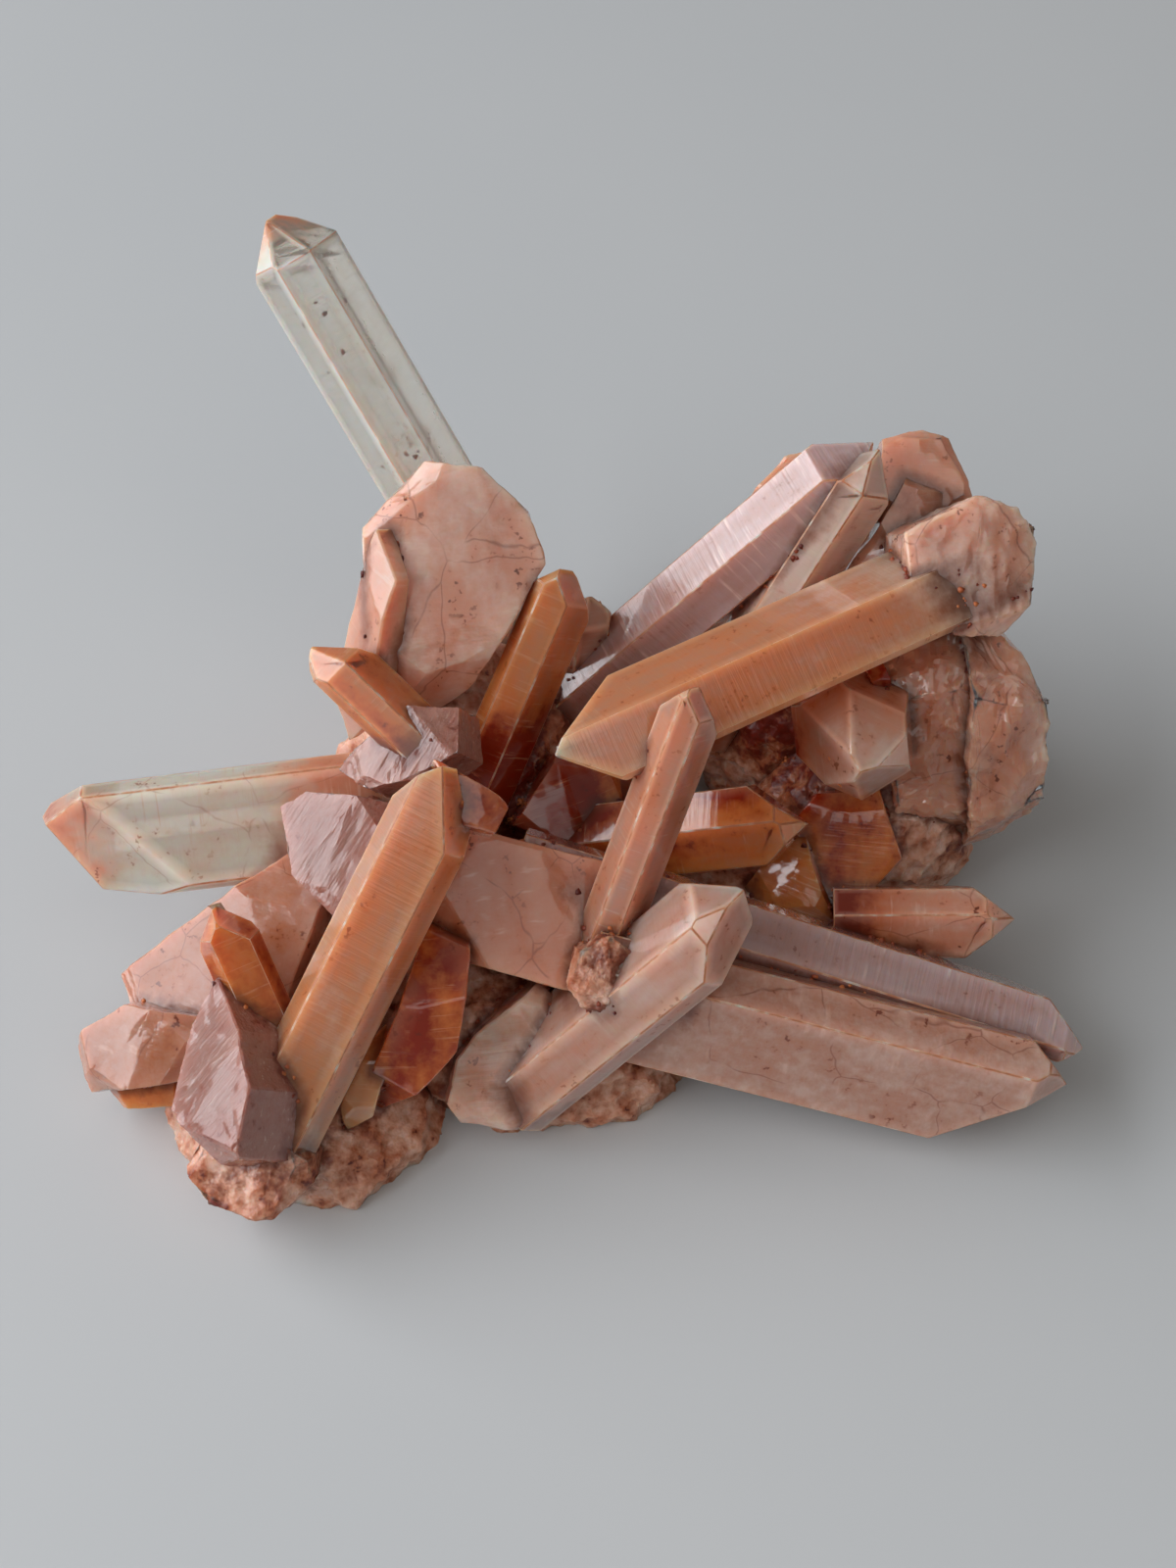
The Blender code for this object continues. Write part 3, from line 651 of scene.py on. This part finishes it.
# one veil and one chip are modelled, all others are copies of them
places = {"healedCracks": [], "hematitePlates": [], "seamCrumbs": []}
firsts = []
sheet = {"thick": 0.02, "waves": 0.9, "high": 0.8}
for kind, finish, cuts, scatter, seed in (("veil", healed, 3, 0.05, 3), ("chip", hematite, 1, 0.4, 5)):
    clearSelection()
    bpy.ops.mesh.primitive_ico_sphere_add(subdivisions=cuts, radius=1)
    first = bpy.context.object
    first.name = first.data.name = "first" + kind.capitalize()
    bpy.ops.object.mode_set(mode="EDIT")
    bpy.ops.mesh.select_all(action="SELECT")
    bpy.ops.transform.vertex_random(offset=scatter, seed=seed, normal=0.6)
    if kind == "veil":                                # flat as a sheet, then waved
        bpy.ops.transform.resize(value=(1, 1, sheet["thick"]))
        bpy.ops.object.mode_set(mode="OBJECT")
        wave = reliefTexture("veilWave", "CLOUDS", sheet["waves"], 1)
        applyModifier(first, "DISPLACE", {"texture": wave, "strength": sheet["high"], "mid_level": 0.5,
                                          "direction": "Z", "texture_coords": "LOCAL"})
    bpy.ops.object.mode_set(mode="OBJECT")
    rim = [max(0.0, 1 - (v.co.x ** 2 + v.co.y ** 2)) for v in first.data.vertices]
    first.data.attributes.new("fade", "FLOAT", "POINT").data.foreach_set("value", rim)
    bpy.ops.object.shade_smooth()
    first.data.materials.append(finish)
    firsts.append(first)
print("materials are mixed")


# crystals, each from its root to its tip, in millimetres

# tall points at the top and the back
upperPoints = {
    "tallSpire": (rockCrystal, {"root": (-1, 16, 15), "tip": (-29.5, 41, 60), "turn": 3,
        "faces": (4.7, 3.4, 5.3, 4.8, 4, 4.6), "ends": (0, 1.6, -1, 0.1, 1.2, -0.4), "veils": 11, "flecks": 26,
        "stain": ((0, 0.35), (0.3, 0.15), (0.42, 0.35), (0.52, 0.1), (0.9, 0.15), (0.97, 0.75), (1, 0.95))}),
    "upperAmberPoint": (amberQuartz, {"root": (-10.5, -5.5, 15.5), "tip": (1.5, 11, 38), "turn": 5,
        "faces": (3.5, 2.4, 3.8, 3.5, 2, 3.7), "ends": (-4.2, 0, -0.5, 0, 0, -2.8), "veils": 6, "flecks": 22,
        "stain": ((0, 0.8), (1, 0.55))}),
    "smallGreyPoint": (hazyQuartz, {"root": (1, 11.5, 12), "tip": (3.5, 14.5, 32), "turn": 30,
        "faces": (2.1, 2.3, 1.4, 2.9, 2.3, 2.7), "ends": (1, 0, 1, 1, 0, 0.5), "veils": 2, "flecks": 6,
        "stain": ((0, 0.5), (1, 0.3))}),
    "silverPoint": (striatedQuartz, {"root": (0, 11.5, 17), "tip": (31.5, 21, 46), "turn": 25,
        "faces": (4.5, 4.1, 3, 5.5, 3.6, 4.2), "ends": (-2, 0, 0, -1, 0, 0), "veils": 6, "flecks": 18,
        "stain": ((0, 0.35), (1, 0.15))}),
    # its stain runs down below zero at the tip for a paler tone: painted light on a point that faces away from the
    # lamps
    "pinkBackPoint": (milkyQuartz, {"root": (15, 9.5, 15), "tip": (33, 20, 47), "turn": -5,
        "faces": (4.5, 3, 2.7, 4.5, 3, 4), "ends": (-1, 1, 2, 2, 1, 0), "veils": 4, "flecks": 12,
        "stain": ((0, 0.2), (1, -0.1))}),
    "longBeam": (amberQuartz, {"root": (46, 15, 37), "tip": (0.5, -9.5, 34), "turn": 0,
        "faces": (5.5, 3.7, 4.9, 5.5, 2, 6.6), "ends": (None, None, 1.4, 4.5, 0.9, -5.5),
        "breaks": ((90, 36, -1.5), (-90, 29, 0.5), (-90, 72, -12), (180, 50, -3)), "brokenRoot": 0.5, "veils": 11,
        "flecks": 40, "stain": ((0, 0.1), (0.3, 0.2), (0.5, 0.4), (0.75, 0.5), (0.92, 0.4), (1, 0.3))}),
    # its stain drops near the tip, so the tip facets are pale: partly the stone's own paler tip, partly a painted
    # reflection of the window's lilac sheen
    "lilacTipPoint": (milkyQuartz, {"root": (34, 15, 19), "tip": (29, -10, 31), "turn": 0,
        "faces": (5, 6.8, 7.2, 5, 4.4, 4.4), "ends": (1, 0, 1, 0, 1, 0), "veils": 3, "flecks": 16,
        "stain": ((0, 0.7), (0.72, 0.65), (0.85, 0.15), (1, 0.1))}),
}
makeAll(growPoint, upperPoints)

# points at the left and in front
leftPoints = {
    "orangeStub": (amberQuartz, {"root": (-12.5, -6, 31), "tip": (-23, 1, 38.5), "turn": 0,
        "faces": (3.2, 1.9, 3.2, 3.2, 2, 3.6), "ends": (-0.5, 1, 1, 0, -1, -2), "veils": 3, "flecks": 10,
        "stain": ((0, 0.7), (1, 0.6))}),
    "leftPoint": (paleQuartz, {"root": (-12, -2, 18.5), "tip": (-51, -7, 17), "turn": -8,
        "faces": (5, 6.7, 3.6, 5, 3.4, 7), "ends": (-4.6, -4.6, -4.6, 0, None, None),
        "cuts": ((-25, 72, -5.9), (-90, 33, 0.9)), "veils": 9, "flecks": 34,
        "stain": ((0, 0.85), (0.3, 0.65), (0.45, 0.15), (0.78, 0), (0.9, 0.45), (1, 0.75))}),
    "frontLeftPoint": (amberQuartz, {"root": (-29.5, -38.5, 4), "tip": (-9, -12, 35), "turn": 0,
        "faces": (4.5, 4.5, 3, 4.5, 2.8, 4.7), "ends": (-6, None, 1.5, 2, 1.5, -7), "cuts": ((60, 66, -2.8),),
        "veils": 9, "flecks": 36, "stain": ((0, 0.3), (1, 0.45))}),
    "smallAmberPoint": (amberQuartz, {"root": (-25.5, -30.5, 9.5), "tip": (-32, -21, 24), "turn": 5,
        "faces": (3.2, 3.2, 1.8, 3.3, 2.4, 3), "ends": (-3.6, -1.4, -0.5, 0, -0.5, -2.4), "veils": 2, "flecks": 8,
        "stain": ((0, 0.75), (1, 0.85))}),
}
makeAll(growPoint, leftPoints)

# points at the right
rightPoints = {
    "centrePoint": (hazyQuartz, {"root": (1, -24, 7), "tip": (13.5, -9, 43), "turn": 0,
        "faces": (3, 2.3, 2.9, 3, 2.5, 2.7), "ends": (-4, -0.4, 0.8, 1, 0.2, -2.6), "veils": 8, "flecks": 26,
        "stain": ((0, 0.6), (0.5, 0.42), (1, 0.35))}),
    "clearPoint": (hazyQuartz, {"root": (-4.5, -28, 4.5), "tip": (18, -21.5, 28), "turn": 0,
        "faces": (4.5, 5.3, 3.4, 4.5, 4.8, 3.3), "ends": (-0.9, 0.8, -1.5, 0, -0.7, 0), "veils": 9, "flecks": 18,
        "stain": ((0, 0.3), (0.5, 0.2), (1, 0.12))}),
    "amberBlock": (amberQuartz, {"root": (1, -3.5, 12), "tip": (24, -6.5, 20), "turn": 30,
        "faces": (3.4, 4.1, 2.7, 4.6, 4.1, 3.7), "ends": (-3.5, -2, -1, 0, -1, -3.4), "veils": 4, "flecks": 18,
        "stain": ((0, 0.9), (1, 0.6))}),
    "rightSmallPoint": (crackedQuartz, {"root": (28, -12.5, 11.5), "tip": (45, -13.5, 13), "turn": 30,
        "faces": (3.4, 3.9, 2.5, 4.6, 3.2, 4), "ends": (-3, -1, 0, 0, -1, -3.2), "veils": 3, "flecks": 10,
        "stain": ((0, 1.1), (0.22, 0.8), (0.45, 0.4), (1, 0.2))}),
    "rightStripPoint": (striatedQuartz, {"root": (-4, -12, 20.5), "tip": (51, -25, 9), "turn": 35,
        "faces": (3.8, 2.6, 3.2, 5.2, 3, 2.7), "ends": (-3.9, -2, 0, 0.5, -0.2, -2.2), "veils": 5, "flecks": 24,
        "stain": ((0, 0.2), (1, 0.1))}),
    "rightLongPoint": (dustyQuartz, {"root": (2.6, -22.3, 13.6), "tip": (49, -30.5, 5), "turn": 35,
        "faces": (4.7, 5.9, 4.5, 7.3, 6.5, 7.8), "ends": (-2, 4, 3, 0, -3.5, -7), "veils": 9, "flecks": 30,
        "stain": ((0, 0.35), (1, 0.2))}),
}
makeAll(growPoint, rightPoints)

# short points at the back, which the photo doesn't show
backPoints = {
    "backPointLeft": (milkyQuartz, {"root": (-4, 6, 12), "tip": (-15, 34, 21), "turn": 10,
        "faces": (4.8, 5.6, 4.6, 5, 5.2, 4.4), "ends": (0, 1, -0.5, 0.5, 1.5, 0), "stain": ((0, 0.5), (1, 0.3))}),
    "backPointMiddle": (milkyQuartz, {"root": (2, 6, 10), "tip": (8, 33, 8), "turn": 20,
        "faces": (5.6, 6.4, 5.2, 6, 5, 5.8), "ends": (0, 2, -1, 0, 1, 0), "stain": ((0, 0.5), (1, 0.3))}),
    "backPointRight": (milkyQuartz, {"root": (22, 12, 14), "tip": (34, 38, 19), "turn": 0,
        "faces": (5, 4.4, 5.2, 5, 5.6, 4.2), "ends": (1, 0, 0, -1, 0, 1.5), "stain": ((0, 0.5), (1, 0.3))}),
    "backPointLow": (milkyQuartz, {"root": (-6, 10, 6), "tip": (-5, 38, 5), "turn": 30,
        "faces": (4, 4.4, 3.6, 4.2, 3.8, 4.4), "ends": (0, 0.5, 0, 1, 0, -0.5), "stain": ((0, 0.5), (1, 0.3))}),
    "backPointFarRight": (milkyQuartz, {"root": (32, 6, 8), "tip": (46, 27, 15), "turn": 15,
        "faces": (4.4, 3.8, 4.6, 4.2, 4, 4.6), "ends": (0, 1, 0, 0.5, -0.5, 0), "stain": ((0, 0.5), (1, 0.3))}),
    "backPointFarLeft": (milkyQuartz, {"root": (-12, 4, 7), "tip": (-27, 11, 5), "turn": 0,
        "faces": (3.2, 3.6, 3, 3.4, 3.6, 3), "ends": (0, 0.5, 0, 0, 1, 0), "stain": ((0, 0.5), (1, 0.3))}),
}
makeAll(growPoint, backPoints)

# broken slabs and blocks at the left, and the rough foot of the big front point
leftSlabs = {
    "frontFoot": (rustyMatrix, {"centre": (-28.6, -36.4, 5), "facing": (-0.15, -0.7, 0.7), "thick": 12.4,
        "sides": ((-90, 3.8), (-40, 5), (10, 6), (60, 4.6), (115, 4.4), (165, 5.4), (-140, 4.8)), "rough": 0.6,
        "fineness": 4, "flakes": 11, "stain": 0.55}),
    "uprightSlab": (crackedQuartz, {"centre": (-11.5, 10.5, 36.5), "facing": (0.1, -0.72, 0.68), "thick": 9,
        "sides": ((-114, 13), (-58, 9.7), (-37, 7.5), (13, 10.2), (42, 11), (78, 11.8), (131, 9.6), (178, 7.6)),
        "rough": 0.3, "flakes": 9, "stain": 0.25}),
    "uprightSide": (milkyQuartz, {"centre": (-18.5, 4, 34), "facing": (-0.8, -0.45, 0.4), "thick": 3,
        "sides": ((-167, 2.7), (-31, 6.5), (21, 3.2), (67, 8)), "stain": 0.4}),
    "roughLilacBlock": (silkyQuartz, {"centre": (-14, -6.5, 30), "facing": (-0.35, -0.45, 0.82), "thick": 7,
        "sides": ((-51, 3.2), (-28, 3.4), (38, 5.8), (120, 4.2), (157, 3), (-90, 4.8)), "rough": 0.1, "flakes": 8,
        "splinter": 0.45, "along": (0.75, -0.3, 0.55), "stain": 0.35}),
    "trianglePlate": (silkyQuartz, {"centre": (-21, -13, 24), "facing": (-0.3, -0.4, 0.86), "thick": 6,
        "sides": ((-103, 4.9), (6, 4.1), (113, 4.6), (150, 5.9), (-133, 4.4)), "rough": 0.06, "flakes": 4,
        "splinter": 0.3, "along": (0.85, -0.35, 0.3), "stain": 0.45}),
    "leftPinkSlab": (dustyQuartz, {"centre": (-32, -19, 10.5), "facing": (-0.25, -0.55, 0.8), "thick": 9,
        "sides": ((-138, 10.4), (-70, 9.9), (0, 7), (76, 13.6), (145, 6.7)), "rough": 0.3, "flakes": 9,
        "stain": 0.5}),
    "leftPinkLobe": (dustyQuartz, {"centre": (-40.5, -25.5, 8), "facing": (-0.25, -0.6, 0.76), "thick": 9,
        "sides": ((136, 4.1), (162, 5.3), (-150, 6.3), (-65, 3.8), (1, 5.9), (98, 4.1)), "rough": 0.3, "flakes": 9,
        "stain": 0.55}),
    "sparklingBlock": (silkyQuartz, {"centre": (-29.5, -33.5, 14), "facing": (-0.62, -0.35, 0.7), "thick": 9,
        "sides": ((-141, 4.6), (-87, 5.7), (-31, 7.8), (33, 5.1), (67, 4.5), (88, 5.3), (-162, 5.9)), "rough": 0.06,
        "flakes": 6, "splinter": 0.35, "along": (-0.35, 0.75, 0.6), "stain": 0.5}),
    "lowAmberBlock": (amberQuartz, {"centre": (-40.5, -27.5, 5), "facing": (-0.2, -0.75, 0.62), "thick": 6,
        "sides": ((-121, 3), (-76, 2.1), (7, 3.4), (107, 1.9), (-167, 4)), "stain": 0.7}),
}
makeAll(breakSlab, leftSlabs)

# blocks in the middle and deep inside
middleSlabs = {
    "orangeChip": (amberQuartz, {"centre": (-8, -14, 32), "facing": (0.2, -0.5, 0.84), "thick": 4,
        "sides": ((-119, 2.6), (-47, 3.3), (15, 2.6), (43, 1.6), (-175, 1.9)), "stain": 0.85}),
    "leftBlock": (crackedQuartz, {"centre": (-2, -16, 17.5), "facing": (0.15, -0.62, 0.77), "thick": 9,
        "sides": ((-116, 6.6), (-49, 8.7), (65, 6.3), (148, 9.5)), "stain": 0.55}),
    "lowerOrangeFace": (amberQuartz, {"centre": (-12.5, -26.5, 12.5), "facing": (0.05, -0.85, 0.52), "thick": 10,
        "sides": ((156, 4.1), (-82, 9), (-11, 2.8), (-45, 2.3), (70, 9.7)), "stain": 0.95}),
    "smallPaleBlock": (amberQuartz, {"centre": (-18, -30, 10), "facing": (-0.1, -0.8, 0.6), "thick": 6,
        "sides": ((164, 1.6), (-167, 3.2), (-52, 3.3), (-13, 1.5), (26, 4.5), (140, 2.4)), "stain": 0.5}),
    "paleLobe": (milkyQuartz, {"centre": (-4, -26.5, 7), "facing": (0.1, -0.7, 0.7), "thick": 8,
        "sides": ((121, 5.2), (137, 5.4), (163, 6.2), (-154, 8), (-100, 6.2), (-61, 5.6), (2, 6.3), (42, 7.3)),
        "rough": 0.3, "flakes": 9, "stain": 0.2}),
    "rustBump": (rustyMatrix, {"centre": (12.5, -24, 11.5), "facing": (0.2, -0.69, 0.69), "thick": 4,
        "sides": ((-87, 1.7), (-17, 2.8), (43, 2.3), (92, 1.9), (137, 2.2), (-113, 2)), "stain": 0.6}),
    "seamLump": (rustyMatrix, {"centre": (4.6, -23.8, 18.6), "facing": (0.1, -0.65, 0.75), "thick": 5.4,
        "sides": ((-100, 3.4), (-40, 3), (15, 3.2), (60, 2.9), (110, 3.1), (165, 3), (-150, 3.2)), "rough": 1,
        "fineness": 4, "stain": 0.5}),
    "innerBrownSlab": (amberQuartz, {"centre": (1, -0.5, 14.5), "facing": (0.3, -0.6, 0.75), "thick": 8,
        "sides": ((-137, 4.4), (-81, 5.5), (-20, 4.9), (53, 4.8), (128, 4.9)), "stain": 0.75}),
    "innerAmberPanel": (amberQuartz, {"centre": (29, -4, 12), "facing": (-0.1, -0.75, 0.65), "thick": 8,
        "sides": ((-174, 5.3), (-111, 7.3), (-35, 5.1), (24, 6.1), (100, 6.5), (146, 5.8)), "stain": 0.8}),
    "innerAmberWedge": (amberQuartz, {"centre": (25, -7, 10.5), "facing": (-0.35, -0.65, 0.67), "thick": 7,
        "sides": ((-89, 2.8), (40, 2.8), (158, 3.6)), "stain": 0.7}),
}
makeAll(breakSlab, middleSlabs)

# the beam's rough end, upright slabs and lumps at the right
rightSlabs = {
    "beamEnd": (crackedQuartz, {"centre": (40.2, 12.3, 37), "facing": (0.1, -0.7, 0.7), "thick": 12.8,
        "sides": ((-100, 6.4), (-50, 6.6), (-12, 6), (28, 6.6), (70, 6.6), (110, 6), (180, 6.5)), "rough": 0.45,
        "fineness": 4, "flakes": 8, "stain": 0.2}),
    "rightSlabLeft": (crackedQuartz, {"centre": (38.5, 3, 22), "facing": (0.05, -0.93, 0.36), "thick": 8,
        "sides": ((-166, 5.3), (-92, 14.3), (-4, 5), (9, 5.3), (110, 12.2)), "rough": 0.85, "fineness": 4,
        "flakes": 12, "stain": 0.4}),
    "rightSlabRight": (crackedQuartz, {"centre": (44.5, 2.5, 22), "facing": (0.22, -0.91, 0.36), "thick": 8,
        "sides": ((-173, 4.3), (-74, 11.5), (0, 4.4), (32, 7), (73, 13.7), (176, 3.9)), "rough": 0.85,
        "fineness": 4, "flakes": 12, "stain": 0.35}),
    "backRightLump": (milkyQuartz, {"centre": (37, 24.5, 37), "facing": (0, -0.6, 0.8), "thick": 9,
        "sides": ((-90, 4.4), (-56, 4.8), (20, 4.4), (76, 5), (102, 4.9), (176, 4.2)), "rough": 0.3, "flakes": 9,
        "stain": 0.45}),
    "backRightBlock": (milkyQuartz, {"centre": (35.5, 20.5, 35.5), "facing": (0.15, -0.65, 0.75), "thick": 8,
        "sides": ((-75, 2.7), (37, 5.2), (65, 4.1), (140, 2.7)), "rough": 0.3, "flakes": 9, "stain": 0.45}),
    "backLeftLump": (milkyQuartz, {"centre": (25, 26, 34.5), "facing": (-0.2, -0.5, 0.84), "thick": 8,
        "sides": ((-75, 3.3), (-3, 3.5), (120, 3), (156, 2.6), (-165, 5.9)), "rough": 0.3, "flakes": 9,
        "stain": 0.5}),
}
makeAll(breakSlab, rightSlabs)
print("crystals are grown")


# the rough quartz under everything

lumps = {"frontLeft": ((-26, -26, 1), (14.5, 14.2, 8)),
         "front": ((-3, -18.5, 1), (19, 12.5, 10)),
         "middle": ((11, -6, 1), (26, 16, 10)),
         "backLeft": ((-9, 9, 6), (16, 13, 21)),
         "left": ((-18, -6, 9), (13, 12, 15)),
         "right": ((33, 4, 6), (13, 9.5, 13)),
         "backRight": ((28, 16, 12), (14, 11, 20))}
chips = {"count": 34, "least": 0.84, "voxel": 0.45, "layers": (0.8, 1.0, 0.5), "smooth": 35, "stain": 0.45}
for seed, (name, (centre, size)) in enumerate(lumps.items()):
    centre, size = Vector(centre), Vector(size)
    name = "matrix" + name[0].upper() + name[1:]
    piece = addBlock(name, centre, *(2 * size[k] * axis for k, axis in enumerate(worldAxes)))
    chance = random.Random(seed)
    for i in range(chips["count"]):
        height = 1 - (2 * i + 1) / chips["count"]
        turn = i * math.pi * (3 - math.sqrt(5))
        level = math.sqrt(1 - height * height)
        out = Vector((level * math.cos(turn), level * math.sin(turn), height))
        left = out * chance.uniform(chips["least"], 1.0)
        shave(centre + left * size, Vector([out[k] / size[k] for k in range(3)]))
    bpy.ops.object.mode_set(mode="OBJECT")
    applyModifier(piece, "REMESH", {"mode": "VOXEL", "voxel_size": chips["voxel"]})
    pushIn(piece, chips["layers"], 1.0, {})
    bpy.ops.object.mode_set(mode="EDIT")
    shave(Vector((0, 0, 0)), -worldAxes[2])
    bpy.ops.object.mode_set(mode="OBJECT")
    bpy.ops.object.shade_smooth_by_angle(angle=math.radians(chips["smooth"]))
    finishPiece(piece, rustyMatrix, centre, *worldAxes, chips["stain"])
print("matrix is broken to shape")

# a small dark-red cube of another crystal, where the beam meets the slabs
redCube = {"centre": (31.9, 3.0, 30.9), "side": 2.0, "right": (0.9, 0.35, 0.2), "up": (-0.35, 0.9, 0.0),
           "lost": (0.6, -0.5, 0.9), "edge": 0.12, "stain": 1.0}      # one corner is lost
middle, lost = Vector(redCube["centre"]), Vector(redCube["lost"])
piece = addBlock("darkRedCube", middle, Vector(redCube["right"]) * redCube["side"],
                 Vector(redCube["up"]) * redCube["side"], worldAxes[2] * redCube["side"])
shave(middle + lost, lost)
softenEdges(redCube["edge"])
bpy.ops.object.mode_set(mode="OBJECT")
finishPiece(piece, amberQuartz, middle, *worldAxes, redCube["stain"])

# rust and crumbs of quartz lie where crystals meet
crumbs = {"stained": 1.8, "tries": 30000, "near": 0.55, "size": (0.15, 0.5), "most": 1400,
          "patch": 110.0, "bare": -0.08, "lowest": 0.0015,     # per metre, noise level, metres
          "small": (0.6, 1.0), "broad": (0.6, 1), "thick": (0.4, 0.8), "buried": 0.1}
bodies = [o for o in bpy.data.objects if o.type == "MESH" and o.get("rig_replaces")]
hulls = []
for body in bodies:
    corners = [v.co for v in body.data.vertices]
    low = Vector([min(c[k] for c in corners) for k in range(3)])
    high = Vector([max(c[k] for c in corners) for k in range(3)])
    hulls.append((body, BVHTree.FromPolygons(corners, [f.vertices for f in body.data.polygons]), low, high))
for body, own, ownLow, ownHigh in hulls:             # how close every point of a piece is to another piece
    seam = []
    reach = crumbs["stained"] * metresPerMm
    rivals = [h for h in hulls if h[0] is not body and
              all(h[2][k] - reach < ownHigh[k] and h[3][k] + reach > ownLow[k] for k in range(3))]
    for vertex in body.data.vertices:
        best, spot = reach, vertex.co
        for other, hull, low, high in rivals:
            if any(spot[k] < low[k] - reach or spot[k] > high[k] + reach for k in range(3)):
                continue
            place, normal, index, gap = hull.find_nearest(spot, best)
            if place is not None:
                best = min(best, gap)
        seam.append(1 - best / reach)
    body.data.attributes.new("seam", "FLOAT", "POINT").data.foreach_set("value", seam)
print("seams are stained")

chance = random.Random(12)
margin = crumbs["near"] * metresPerMm
areas = []
for body in bodies:
    areas += [(body, face) for face in body.data.polygons]
picks = chance.choices(areas, weights=[face.area for body, face in areas], k=crumbs["tries"])
for body, face in picks:
    corner = chance.randrange(1, len(face.vertices) - 1)
    a, b, c = (body.data.vertices[face.vertices[k]].co for k in (0, corner, corner + 1))
    u, v = chance.random(), chance.random()
    if u + v > 1:
        u, v = 1 - u, 1 - v
    spot = a + (b - a) * u + (c - a) * v
    if len(places["seamCrumbs"]) >= crumbs["most"] or spot.z < crumbs["lowest"]:
        continue
    if noise.noise(spot * crumbs["patch"]) < crumbs["bare"]:
        continue
    touching, buried = None, False
    for other, hull, low, high in hulls:
        if other is body or any(spot[k] < low[k] - margin or spot[k] > high[k] + margin for k in range(3)):
            continue
        place, normal, index, gap = hull.find_nearest(spot)
        if (spot - place).dot(normal) < -margin * crumbs["buried"]:
            buried = True
            break
        if gap < margin:
            touching = normal
    if touching is None or buried:
        continue
    wide = chance.uniform(*crumbs["size"]) * chance.uniform(*crumbs["small"])
    size = [wide, wide * chance.uniform(*crumbs["broad"]), wide * chance.uniform(*crumbs["thick"])]
    sealInside("seamCrumbs", spot / metresPerMm + clusterMiddle, (face.normal + touching).normalized(), size,
               chance.uniform(0, 360))
print(len(places["seamCrumbs"]), "crumbs lie in the seams")

veil, chip = firsts
layOut("healedCracks", veil)
layOut("hematitePlates", chip)
layOut("seamCrumbs", chip)
for first in firsts:
    bpy.data.objects.remove(first)
print("veils, plates and crumbs are in")

made = [o for o in bpy.data.objects if o.type == "MESH" and o.get("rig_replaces")]
print(len(made), "pieces,", sum(len(p.vertices) - 2 for o in made for p in o.data.polygons), "triangles")
